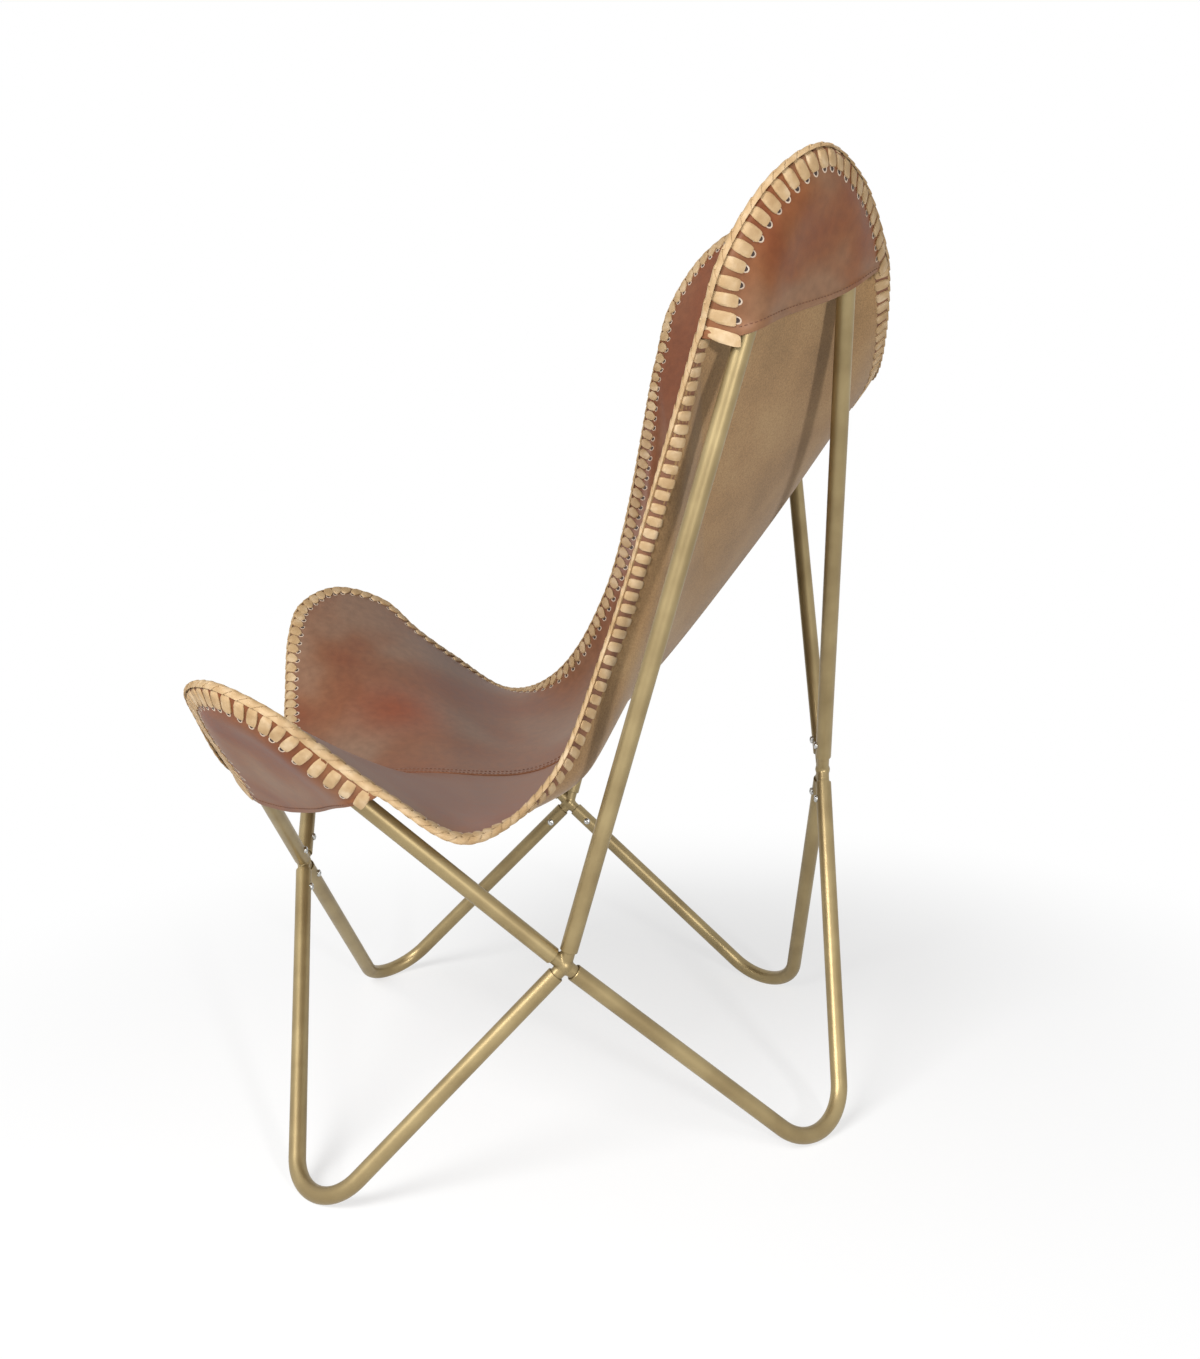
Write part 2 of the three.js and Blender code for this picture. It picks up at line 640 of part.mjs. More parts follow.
const insetColumn = slingMiddle[0].length - 2;
const slingNormals = slingMiddle.map((row, r) => row.map((point, c) => {
  if (c >= insetColumn) return edge[r].up.clone();
  const normal = c === 0 ? centreNormal(edge[r].root) : gridNormal(slingMiddle, r, c);
  if (r === 0 || r === lastRow) normal.setX(0).normalize();
  return normal;
}));

function slingFace(offset) {
  return slingMiddle.map((row, r) => row.map((point, c) => {
    const onFace = along(point, slingNormals[r][c], offset);
    if (c === 0 || r === 0 || r === lastRow) onFace.x = SEAM_GAP / 2;
    return onFace;
  }));
}

function slingBoundary(face) {
  const spine = face.map((row) => row[0]).reverse();
  const rim = face.map((row) => row[row.length - 1]);
  return [...face[0], ...rim, ...face[lastRow].slice().reverse(), ...spine];
}

const slingUpper = slingFace(LEATHER / 2);
const slingLower = slingFace(-LEATHER / 2);
const slingSheet = new Sheet();
slingSheet.faces(slingUpper, slingLower);
slingSheet.wall(slingBoundary(slingUpper), slingBoundary(slingLower));
addPair('sling_half', weldedGeometry(slingSheet.positions), leather);

// Pockets: a second layer behind each tip, laced to the sling's edge and drawn over the back of the loop
const layerDrop = LEATHER / 2 + SEAM_GAP + POCKET_LEATHER / 2;
const pocketReach = TUBE_DIAMETER / 2 + POCKET_SEAT + POCKET_LEATHER / 2;

// From the crown of the tube that a pocket is drawn over to the pocket's rim: round the tube, then straight
function pocketRow(axis, sample, slide) {
  const rim = along(sample.point, sample.up, -layerDrop);
  const hole = along(rim, sample.out, -FLAT_EDGE);
  const foot = axis.foot(along(hole, axis.tip, slide));
  const back = frontOf(axis).negate();
  const crown = along(foot.point, back, pocketReach);
  const offset = hole.clone().sub(foot.point);
  const square = across(offset, foot.tangent);
  const turn = square.angleTo(back);
  const straight = Math.acos(Math.min(1, pocketReach / square.length()));
  if (straight >= turn) {
    return [crown, crown.clone().lerp(hole, 1 / 3), crown.clone().lerp(hole, 2 / 3), hole, rim];
  }
  const wrap = (turn - straight) / 2;
  const aside = across(square, back).normalize();
  const wrapped = [wrap, 2 * wrap].map((angle, i) => {
    const radial = back.clone().multiplyScalar(Math.cos(angle)).addScaledVector(aside, Math.sin(angle));
    const slipped = offset.dot(foot.tangent) * (i + 1) / 3;
    return along(along(foot.point, radial, pocketReach / Math.cos(wrap / 2)), foot.tangent, slipped);
  });
  return [crown, ...wrapped, hole, rim];
}

function pocketGeometry(axis, first, last, mouthSlide) {
  const samples = edge.slice(sampleAt[first], sampleAt[last] + 1);
  const end = samples.length - 1;
  const middle = samples.map((sample, i) => {
    const slide = i < end / 2 ? mouthSlide[0] * (1 - 2 * i / end) : mouthSlide[1] * (2 * i / end - 1);
    return pocketRow(axis, sample, slide);
  });
  const normals = middle.map((row, r) => row.map((point, c) => {
    if (c === 0) return frontOf(axis).negate();
    if (c >= row.length - 2) return samples[r].up.clone().negate();
    const normal = gridNormal(middle, r, c);
    return normal.dot(toward(axis.nearest(point), point)) < 0 ? normal.negate() : normal;
  }));
  const face = (offset) => middle.map((row, r) => row.map((point, c) => along(point, normals[r][c], offset)));
  const inner = face(-POCKET_LEATHER / 2);
  const outer = face(POCKET_LEATHER / 2);
  const betweenCrowns = (grid) => grid.slice(0, end / 2 + 1).map((row, r) => [grid[end - r][0], row[0]]);
  const boundary = (grid) => {
    const side = grid.map((row) => row[row.length - 1]);
    return [...grid[0], ...side, ...grid[end].slice().reverse()];
  };
  const sheet = new Sheet();
  sheet.faces(inner, outer);
  sheet.faces(betweenCrowns(inner), betweenCrowns(outer));
  sheet.wall(boundary(inner), boundary(outer));
  return weldedGeometry(sheet.positions);
}

addPair('front_pocket', pocketGeometry(leftLoops.front, FRONT_HEM, SIDE_HEM, FRONT_MOUTH_SLIDE), leather);
addPair('back_pocket', pocketGeometry(leftLoops.back, WING_HEM, TOP_HEM, BACK_MOUTH_SLIDE), leather);

// Lace: bound over the edge of the leather, round both layers where there is a pocket
function laceSection(sample) {
  const top = LEATHER / 2 + LACE_GAP;
  const bottom = -LEATHER / 2 - LACE_GAP - (sample.loop ? SEAM_GAP + POCKET_LEATHER : 0);
  const outline = [
    [-LACE_REACH, top + LACE_THICKNESS], [LACE_GAP + LACE_THICKNESS, top + LACE_THICKNESS],
    [LACE_GAP + LACE_THICKNESS, bottom - LACE_THICKNESS], [-LACE_REACH, bottom - LACE_THICKNESS],
    [-LACE_REACH, bottom], [LACE_GAP, bottom], [LACE_GAP, top], [-LACE_REACH, top],
  ];
  return outline.map(([out, up]) => along(along(sample.point, sample.out, out), sample.up, up));
}

const laceSections = edge.map(laceSection);

// Sweeps the lace from one point of the edge to another. Runs stop short of each other at the tips.
function laceFaces(first, last) {
  const sections = laceSections.slice(sampleAt[first], sampleAt[last] + 1);
  const run = sections.map((section) => section.map((p) => p.clone()));
  const end = run.length - 1;
  const trim = (section, sample, distance) => {
    section.forEach((p) => p.addScaledVector(sample.tangent, distance));
  };
  if (first > 0) trim(run[0], edge[sampleAt[first]], SEAM_GAP / 2);
  if (last < TOP_MIDDLE) trim(run[end], edge[sampleAt[last]], -SEAM_GAP / 2);
  const sheet = new Sheet();
  const corners = run[0].length;
  const facingLeather = [corners - 3, corners - 2];
  for (let i = 0; i < end; i += 1) {
    for (let k = 0; k < corners; k += 1) {
      const next = (k + 1) % corners;
      const ring = [run[i][k], run[i][next], run[i + 1][next], run[i + 1][k]];
      // The leather's edge and upper face are split along their other diagonals
      if (facingLeather.includes(k)) ring.push(ring.shift());
      sheet.quad(...ring);
    }
  }
  const cap = (section, k) => {
    const far = corners - 1 - k;
    return [section[k], section[far], section[far - 1], section[k + 1]];
  };
  for (let k = 0; k < 3; k += 1) {
    if (first > 0) sheet.quad(...cap(run[0], k));
    if (last < TOP_MIDDLE) sheet.quad(...cap(run[end], k).reverse());
  }
  return sheet.positions;
}

// Runs that cross the middle are closed with their own mirror image
function withMirror(positions) {
  const flipped = [];
  for (let i = 0; i < positions.length; i += 9) {
    for (const corner of [0, 6, 3]) {
      flipped.push(-positions[i + corner], positions[i + corner + 1], positions[i + corner + 2]);
    }
  }
  return [...positions, ...flipped];
}

addPiece('front_lace', weldedGeometry(withMirror(laceFaces(0, FRONT_TIP))), lace);
addPiece('top_lace', weldedGeometry(withMirror(laceFaces(BACK_TIP, TOP_MIDDLE))), lace);
addPair('side_lace', weldedGeometry(laceFaces(FRONT_TIP, BACK_TIP)), lace);

// The origin is under the middle of the chair
const box = new THREE.Box3().setFromObject(chair);
chair.position.y = -(box.min.y + box.max.y) / 2;

export default chair;
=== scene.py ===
"""Looks of the butterfly sling chair: a brass-coated tube frame and a laced leather sling.

Lengths are millimetres until a mesh is made. The axes are the frame's: +Z up, the sitter faces -Y and +X is
the sitter's left. Each half of the sling is worked out on the left and turned over in X for the right.
"""

import logging
import math
from dataclasses import dataclass, replace
from enum import Enum

import bmesh
import bpy
import numpy as np
from mathutils import Matrix, Vector
from mathutils.bvhtree import BVHTree


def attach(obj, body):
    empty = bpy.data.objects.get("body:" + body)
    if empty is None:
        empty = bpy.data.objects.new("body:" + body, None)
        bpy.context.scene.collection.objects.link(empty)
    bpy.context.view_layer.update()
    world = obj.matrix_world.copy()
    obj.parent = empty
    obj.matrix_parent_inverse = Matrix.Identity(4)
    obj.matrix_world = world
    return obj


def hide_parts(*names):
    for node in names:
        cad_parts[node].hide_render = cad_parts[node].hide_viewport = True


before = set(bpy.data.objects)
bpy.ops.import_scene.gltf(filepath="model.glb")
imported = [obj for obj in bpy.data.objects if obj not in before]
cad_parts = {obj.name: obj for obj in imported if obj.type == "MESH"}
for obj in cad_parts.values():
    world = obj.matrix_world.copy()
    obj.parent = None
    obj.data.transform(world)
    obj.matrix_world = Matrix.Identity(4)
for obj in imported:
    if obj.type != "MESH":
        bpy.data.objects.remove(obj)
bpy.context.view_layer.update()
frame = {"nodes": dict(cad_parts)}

log = logging.getLogger("sling_chair")
Points = np.ndarray
Triple = tuple[float, float, float]
Spot = tuple[Points, Points, Points, Points]  # an edge's place, tangent, out and up
Stops = tuple[tuple[float, str], ...]  # places on a ramp from 0 to 1, each with a hex colour
Socket = bpy.types.NodeSocket
MM = 0.001
BODY = "root"
SHIFT_Y = -0.349  # from the source's own Y to the frame's, whose origin is under the middle of the chair
MIRROR = np.array([-1, 1, 1])
X_AXIS = np.array([1.0, 0, 0])
Z_AXIS = np.array([0, 0, 1.0])


class Side(Enum):
    """A half of the chair, as the sign of its X."""

    LEFT = 1
    RIGHT = -1

    @property
    def word(self) -> str:
        """The side's name in lower case."""
        return self.name.lower()


class Finish(Enum):
    """Index of a material on a leather or lace piece."""

    FACE = 0
    BACK = 1
    CUT = 2
    THREAD = 3
    # a flat disc painted dark for the shade in a punched hole
    HOLE = 4


def point(x: float, y: float, z: float) -> Points:
    """A point of the frame, in millimetres, given from the source's own Y."""
    return np.array([x, y + SHIFT_Y, z], float)


def unit(vectors: Points) -> Points:
    """Vectors of length 1."""
    length = np.linalg.norm(vectors, axis=-1, keepdims=True)
    return vectors / np.maximum(length, 1e-9)


def across(vectors: Points, direction: Points) -> Points:
    """The part of vectors that is square to a direction."""
    return vectors - np.sum(vectors * direction, axis=-1, keepdims=True) * direction


def circle(sides: int, first: Points, second: Points) -> Points:
    """Spokes of length 1 all round, from two directions that are square to each other."""
    turn = 2 * math.pi * np.arange(sides) / sides
    return np.cos(turn)[:, None] * first + np.sin(turn)[:, None] * second


def interpolate(wanted: Points, marks: Points, values: Points) -> Points:
    """Points at wanted marks, from a line of points with a mark each."""
    return np.stack([np.interp(wanted, marks, values[:, k]) for k in range(3)], axis=-1)


def pick(values: Points, numbers: Points) -> Points:
    """Points at numbers along a line of points, between two of them where a number isn't whole."""
    return interpolate(numbers, np.arange(len(values)), values)


def lengths_along(line: Points) -> Points:
    """The distance along a line to each of its points."""
    return np.concatenate([[0], np.cumsum(np.linalg.norm(np.diff(line, axis=0), axis=1))])


def even_along(line: Points, step: float) -> Points:
    """Numbers along a line's points at even distances, the first half a step in."""
    run = lengths_along(line)
    return np.interp(np.arange(step / 2, run[-1], step), run, np.arange(len(line)))


def smooth_line(controls: Points, steps: int, closed: bool = False) -> Points:
    """A centripetal curve through control points.

    Args:
        controls: The points that the curve passes through.
        steps: Points for each span between two controls.
        closed: Whether the curve runs back to its start.

    Returns:
        The points of the curve.
    """
    count = len(controls)
    t = (np.arange(steps) / steps)[:, None]
    line = []
    for span in range(count if closed else count - 1):
        if closed:
            knots = [controls[(span + k) % count] for k in (-1, 0, 1, 2)]
        else:
            before = controls[span - 1] if span else 2 * controls[0] - controls[1]
            after = controls[span + 2] if span + 2 < count else 2 * controls[-1] - controls[-2]
            knots = [before, controls[span], controls[span + 1], after]
        p0, p1, p2, p3 = knots
        g0, g1, g2 = [max(np.linalg.norm(b - a) ** 0.5, 1e-6) for a, b in zip(knots, knots[1:])]
        start = ((p1 - p0) / g0 - (p2 - p0) / (g0 + g1) + (p2 - p1) / g1) * g1
        end = ((p2 - p1) / g1 - (p3 - p1) / (g1 + g2) + (p3 - p2) / g2) * g1
        second = 3 * (p2 - p1) - 2 * start - end
        third = 2 * (p1 - p2) + start + end
        line.append(p1 + start * t + second * t**2 + third * t**3)
    if not closed:
        line.append(controls[-1:])
    return np.concatenate(line)


def grid_normals(grid: Points) -> Points:
    """Normals of a grid, with those of a neighbour where the grid runs to a point.

    Args:
        grid: Rows of points.

    Returns:
        The normals, on the side from which columns turn to rows counterclockwise.
    """
    row_step = np.gradient(grid, axis=0)
    column_step = np.gradient(grid, axis=1)
    normals = np.cross(column_step, row_step)
    size = np.linalg.norm(normals, axis=-1)
    weak = size < 1e-4 * np.median(size)
    normals = unit(normals)
    for row in range(1, len(grid)):
        normals[row][weak[row]] = normals[row - 1][weak[row]]
    for row in range(len(grid) - 2, -1, -1):
        normals[row][weak[row]] = normals[row + 1][weak[row]]
    return normals


def smooth_step(share: Points) -> Points:
    """An even change from 0 to 1 as the share goes from 0 to 1."""
    held = np.clip(share, 0, 1)
    return held**2 * (3 - 2 * held)


def from_edge(steps: Points) -> Points:
    """For each place on a grid's rows, the sum of the steps between it and the last column."""
    sums = np.cumsum(steps[:, ::-1], axis=1)[:, ::-1]
    return np.concatenate([sums, np.zeros((len(sums), 1))], axis=1)


def neighbour_mean(values: Points) -> Points:
    """Each inner value of a grid as the mean of its four neighbours.

    Args:
        values: The grid.

    Returns:
        A new grid, with the rim as it was.
    """
    mean = values.copy()
    mean[1:-1, 1:-1] = (values[:-2, 1:-1] + values[2:, 1:-1] + values[1:-1, :-2] + values[1:-1, 2:]) / 4
    return mean


class Draft:
    """Points and faces of a piece before it becomes a mesh."""

    def __init__(self) -> None:
        """Starts with nothing."""
        self.points: list[Points] = []
        self.faces: list[list[int]] = []
        self.finishes: list[int] = []
        self.count = 0

    def grid(self, grid: Points, finish: Finish = Finish.FACE, ring: bool = False) -> None:
        """Adds the faces of a grid of points.

        Args:
            grid: Rows of points.
            finish: The material of these faces.
            ring: Whether each row closes on itself.
        """
        rows, columns = grid.shape[:2]
        index = self.count + np.arange(rows * columns).reshape(rows, columns)
        self.points.append(grid.reshape(-1, 3))
        self.count += rows * columns
        if ring:
            index = np.concatenate([index, index[:, :1]], axis=1)
        corners = [index[:-1, :-1], index[:-1, 1:], index[1:, 1:], index[1:, :-1]]
        quads = np.stack(corners, axis=-1).reshape(-1, 4)
        self.faces.extend(quads.tolist())
        self.finishes.extend([finish.value] * len(quads))

    def polygon(self, outline: Points, finish: Finish = Finish.FACE) -> None:
        """Adds one face.

        Args:
            outline: Its points, in order.
            finish: Its material.
        """
        self.points.append(outline)
        self.faces.append(list(range(self.count, self.count + len(outline))))
        self.finishes.append(finish.value)
        self.count += len(outline)

    def closed_sweep(self, rings: Points, finish: Finish = Finish.FACE) -> None:
        """Adds a skin through a row of rings, closed at both ends.

        Args:
            rings: Rows of points, each of which closes on itself.
            finish: The material of the skin.
        """
        self.grid(rings, finish, ring=True)
        self.polygon(rings[0], finish)
        self.polygon(rings[-1], finish)

    def mesh(self, name: str) -> bpy.types.Mesh:
        """A mesh in metres, as drafted."""
        mesh = bpy.data.meshes.new(name)
        mesh.from_pydata((np.concatenate(self.points) * MM).tolist(), [], self.faces)
        return mesh

    def build(self, name: str, materials: list[bpy.types.Material],
              sharp_degrees: float = 40) -> bpy.types.Object:
        """Makes the piece, with shared points joined and its faces turned out.

        Args:
            name: The piece's name.
            materials: Materials in the order of Finish.
            sharp_degrees: Edges that turn more than this stay sharp.

        Returns:
            The new object, riding on the frame.
        """
        mesh = self.mesh(name)
        mesh.polygons.foreach_set("material_index", self.finishes)
        shape = bmesh.new()
        shape.from_mesh(mesh)
        bmesh.ops.remove_doubles(shape, verts=shape.verts, dist=2e-6)
        bmesh.ops.dissolve_degenerate(shape, edges=shape.edges, dist=1e-6)
        bmesh.ops.recalc_face_normals(shape, faces=shape.faces)
        for face in shape.faces:
            face.smooth = True
        shape.to_mesh(mesh)
        shape.free()
        mesh.set_sharp_from_angle(angle=math.radians(sharp_degrees))
        for material in materials:
            mesh.materials.append(material)
        piece = bpy.data.objects.new(name, mesh)
        bpy.context.scene.collection.objects.link(piece)
        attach(piece, BODY)
        return piece


class BentTube:
    """A tube's axis: a straight leg, a round bend and a straight leg, all in one plane."""

    def __init__(self, start: Points, corner: Points, end: Points, bend: float) -> None:
        """Works out the bend.

        Args:
            start: Where the first leg begins.
            corner: Where the two legs would meet.
            end: Where the second leg ends.
            bend: The radius of the bend, at the axis.
        """
        self.legs = (unit(start - corner), unit(end - corner))
        half = math.acos(float(self.legs[0] @ self.legs[1])) / 2
        self.tip = -unit(self.legs[0] + self.legs[1])
        self.wide = unit(self.legs[0] - self.legs[1])
        self.normal = np.cross(self.tip, self.wide)
        self.center = corner - self.tip * bend / math.sin(half)
        self.sweep = math.pi / 2 - half
        self.bend = bend
        self.ends = [start, end]

    def around(self, angle: float, radius: float) -> Points:
        """A point at an angle from the tip round the bend's centre."""
        return self.center + radius * (self.tip * math.cos(angle) + self.wide * math.sin(angle))

    def trim(self, end: int, crossing: Points, gap: float) -> None:
        """Cuts one end back to a distance from the crossing that it runs to."""
        self.ends[end] = crossing - self.legs[end] * gap

    def front(self, toward: Points) -> Points:
        """The normal of the tube's plane on the side of a point."""
        return self.normal * np.sign(self.normal @ (toward - self.center))

    def stations(self, bend_steps: int = 28, leg_steps: int = 6) -> tuple[Points, Points]:
        """The axis as points.

        Args:
            bend_steps: Steps round the bend.
            leg_steps: Steps along each leg.

        Returns:
            Points along the axis, and its direction at each of them.
        """
        angles = self.sweep * (1 - 2 * np.arange(bend_steps + 1) / bend_steps)
        arc = np.array([self.around(angle, self.bend) for angle in angles])
        turning = np.array([self.tip * math.sin(angle) - self.wide * math.cos(angle) for angle in angles])
        share = (np.arange(leg_steps) / leg_steps)[:, None]
        first = self.ends[0] + (arc[0] - self.ends[0]) * share
        last = arc[-1] + (self.ends[1] - arc[-1]) * (share + 1 / leg_steps)
        legs = [np.repeat(leg[None], leg_steps, 0) for leg in (-self.legs[0], self.legs[1])]
        return np.concatenate([first, arc, last]), np.concatenate([legs[0], turning, legs[1]])

    def nearest(self, places: Points) -> Points:
        """The axis's nearest points.

        Args:
            places: An array of points, of any shape.

        Returns:
            For each of them, the point of the axis that is nearest to it.
        """
        line, _ = self.stations(bend_steps=16, leg_steps=1)
        flat = places.reshape(-1, 3)
        best = np.full(len(flat), np.inf)
        found = np.zeros_like(flat)
        for a, b in zip(line, line[1:]):
            share = np.clip((flat - a) @ (b - a) / ((b - a) @ (b - a)), 0, 1)
            foot = a + share[:, None] * (b - a)
            distance = np.linalg.norm(flat - foot, axis=1)
            closer = distance < best
            best[closer] = distance[closer]
            found[closer] = foot[closer]
        return found.reshape(places.shape)


# Materials


def linear(hex_colour: str) -> tuple[float, float, float, float]:
    """A colour for a shader socket.

    Args:
        hex_colour: An sRGB value such as #7a4f3a.

    Returns:
        The linear colour, with an alpha of 1.
    """
    values = [int(hex_colour[i : i + 2], 16) / 255 for i in (1, 3, 5)]
    flat = [v / 12.92 if v <= 0.04045 else ((v + 0.055) / 1.055) ** 2.4 for v in values]
    return (*flat, 1.0)


def per_metre(size_mm: float) -> float:
    """A texture's scale, from the size of one of its features."""
    return 1000 / size_mm


def feed(tree: bpy.types.NodeTree, node: bpy.types.Node, inputs: dict) -> None:
    """Fills a node's sockets.

    Args:
        tree: The tree that holds the node.
        node: The node.
        inputs: Sockets by name or number: another node's output, or a value.
    """
    for key, value in inputs.items():
        if isinstance(value, bpy.types.NodeSocket):
            tree.links.new(value, node.inputs[key])
        else:
            node.inputs[key].default_value = value


def add_node(tree: bpy.types.NodeTree, kind: str, inputs: dict | None = None,
             **settings: object) -> bpy.types.Node:
    """Adds a node to a tree.

    Args:
        tree: The tree.
        kind: The node's type.
        inputs: Sockets by name or number: another node's output, or a value.
        settings: Properties of the node.

    Returns:
        The new node.
    """
    made = tree.nodes.new(kind)
    for key, value in settings.items():
        setattr(made, key, value)
    feed(tree, made, inputs or {})
    return made


class Look:
    """A material while it is made: its nodes, its main shader and the piece's own coordinates."""

    def __init__(self, name: str) -> None:
        """Starts a material that has only its main shader.

        Args:
            name: The material's name.
        """
        self.material = bpy.data.materials.new(name)
        self.material.use_nodes = True
        self.tree = self.material.node_tree
        self.tree.nodes.clear()
        self.shader = add_node(self.tree, "ShaderNodeBsdfPrincipled")
        self.output = add_node(self.tree, "ShaderNodeOutputMaterial", {"Surface": self.shader.outputs[0]})
        self.place = add_node(self.tree, "ShaderNodeTexCoord").outputs["Object"]

    def noise(self, size_mm: float, detail: float, **more: float) -> Socket:
        """Cloudy noise from 0 to 1.

        Args:
            size_mm: The size of its largest features.
            detail: How many finer layers it has.
            more: Other inputs of the node.

        Returns:
            The noise.
        """
        inputs = {"Vector": self.place, "Scale": per_metre(size_mm), "Detail": detail, **more}
        return add_node(self.tree, "ShaderNodeTexNoise", inputs).outputs["Fac"]

    def ramp(self, factor: Socket, stops: Stops) -> Socket:
        """The colour that a factor picks.

        Args:
            factor: A value from 0 to 1.
            stops: The colours to pick from.

        Returns:
            The colour.
        """
        ramp = add_node(self.tree, "ShaderNodeValToRGB", {"Fac": factor})
        elements = ramp.color_ramp.elements
        while len(elements) < len(stops):
            elements.new(0.5)
        for element, (place, colour) in zip(elements, stops):
            element.position = place
            element.color = linear(colour)
        return ramp.outputs["Color"]

    def mixed(self, share: Socket | float, first: Socket, second: Socket | tuple, blend: str) -> Socket:
        """Two colours in one.

        Args:
            share: How much of the second there is.
            first: The colour under it.
            second: The colour over it.
            blend: The way they mix.

        Returns:
            The new colour.
        """
        inputs = {0: share, 6: first, 7: second}
        return add_node(self.tree, "ShaderNodeMix", inputs, data_type="RGBA", blend_type=blend).outputs[2]

    def roughness(self, pattern: Socket, low: float, high: float) -> Socket:
        """A roughness that follows the middle of a pattern's range, from low to high."""
        inputs = {"Value": pattern, "From Min": 0.3, "From Max": 0.7, "To Min": low, "To Max": high}
        return add_node(self.tree, "ShaderNodeMapRange", inputs).outputs[0]

    def bump(self, height: Socket, strength: float, depth_mm: float, under: Socket | None = None) -> Socket:
        """The normal of a surface with a relief.

        Args:
            height: The relief's pattern.
            strength: How much of it shows, from 0 to 1.
            depth_mm: Its depth.
            under: The normal of a finer relief.

        Returns:
            The normal.
        """
        inputs = {"Height": height, "Strength": strength, "Distance": depth_mm * MM}
        if under is not None:
            inputs["Normal"] = under
        return add_node(self.tree, "ShaderNodeBump", inputs).outputs["Normal"]

    def finished(self, inputs: dict) -> bpy.types.Material:
        """The material, once its main shader has these inputs."""
        feed(self.tree, self.shader, inputs)
        return self.material


@dataclass(frozen=True)
class GrainLeather:
    """Aniline-dyed hide, glazed: the eye sees cloudy browns, a soft gloss and a fine pebbled grain."""

    name: str = "glazed_hide"
    clouds: Stops = ((0.34, "#73432b"), (0.5, "#795139"), (0.66, "#7f624e"))
    mottles: Stops = ((0.3, "#c9c4c0"), (0.7, "#ffffff"))
    mottle_share: float = 0.5
    cloud_mm: float = 190
    mottle_mm: float = 9
    grain_mm: float = 1.5
    roughness: float = 0.46
    rubbed: float = -0.015  # change of the roughness where the hide is glossiest
    dull: float = 0.025
    gloss_level: float = 0.22
    worn_at: Triple | None = None
    worn_mm: float = 95
    worn_share: float = 0.9
    worn_colour: str = "#7c3c1f"

    def make(self) -> bpy.types.Material:
        """Makes the material.

        Returns:
            The material.
        """
        look = Look(self.name)
        cloud = look.noise(self.cloud_mm, detail=2.0, Distortion=0.5)
        mottle = look.noise(self.mottle_mm, detail=5.0)
        dye = look.ramp(cloud, self.clouds)
        if self.worn_at:
            dye = self._worn(look, dye)
        pebble_inputs = {"Vector": look.place, "Scale": per_metre(self.grain_mm)}
        pebbles = add_node(look.tree, "ShaderNodeTexVoronoi", pebble_inputs).outputs["Distance"]
        grain = look.bump(pebbles, strength=0.1, depth_mm=0.4)
        return look.finished({
            "Base Color": look.mixed(self.mottle_share, dye, look.ramp(mottle, self.mottles), "MULTIPLY"),
            "Roughness": look.roughness(mottle, self.roughness + self.rubbed, self.roughness + self.dull),
            "Normal": look.bump(cloud, strength=0.2, depth_mm=4, under=grain),
            "Specular IOR Level": self.gloss_level,
        })

    def _worn(self, look: Look, dye: Socket) -> Socket:
        """The dye with one patch rubbed redder, which fades out with distance from its middle.

        Args:
            look: The material.
            dye: The dye's colour.

        Returns:
            The new colour.
        """
        middle = tuple(value * MM for value in self.worn_at)
        far = add_node(look.tree, "ShaderNodeVectorMath", {0: look.place, 1: middle}, operation="DISTANCE")
        fade_inputs = {"Value": far.outputs["Value"], "From Min": 0.0, "From Max": self.worn_mm * MM,
                       "To Min": self.worn_share, "To Max": 0.0}
        fade = add_node(look.tree, "ShaderNodeMapRange", fade_inputs, interpolation_type="SMOOTHSTEP")
        return look.mixed(fade.outputs[0], dye, linear(self.worn_colour), "MIX")


@dataclass(frozen=True)
class FleshSide:
    """The split, brushed side of a hide: a dull tan nap with cloudy wear and short fibres."""

    name: str = "brushed_suede"
    clouds: Stops = ((0.32, "#896a43"), (0.5, "#96754c"), (0.7, "#9f8056"))
    flecks: Stops = ((0.3, "#b9b2a8"), (0.65, "#ffffff"))
    fleck_share: float = 0.6
    cloud_mm: float = 70
    fibre_mm: float = 1.6
    roughness: float = 0.92
    sheen: float = 0.15

    def make(self) -> bpy.types.Material:
        """Makes the material.

        Returns:
            The material.
        """
        look = Look(self.name)
        cloud = look.noise(self.cloud_mm, detail=6.0, Roughness=0.6)
        fibre = look.noise(self.fibre_mm, detail=3.0)
        nap = look.ramp(cloud, self.clouds)
        return look.finished({
            "Base Color": look.mixed(self.fleck_share, nap, look.ramp(fibre, self.flecks), "MULTIPLY"),
            "Roughness": self.roughness,
            "Normal": look.bump(fibre, strength=0.35, depth_mm=0.6),
            "Sheen Weight": self.sheen,
        })


@dataclass(frozen=True)
class RawLeather:
    """Undyed vegetable-tanned leather, cut into lace or seen at a cut edge: pale, fibrous and dry."""

    name: str
    stops: Stops
    patch_mm: float = 14
    fibre_mm: float = 1.1
    roughness: float = 0.68

    def make(self) -> bpy.types.Material:
        """The material."""
        look = Look(self.name)
        fibre = look.noise(self.fibre_mm, detail=4.0)
        return look.finished({
            "Base Color": look.ramp(look.noise(self.patch_mm, detail=4.0), self.stops),
            "Roughness": self.roughness,
            "Normal": look.bump(fibre, strength=0.3, depth_mm=0.5),
        })


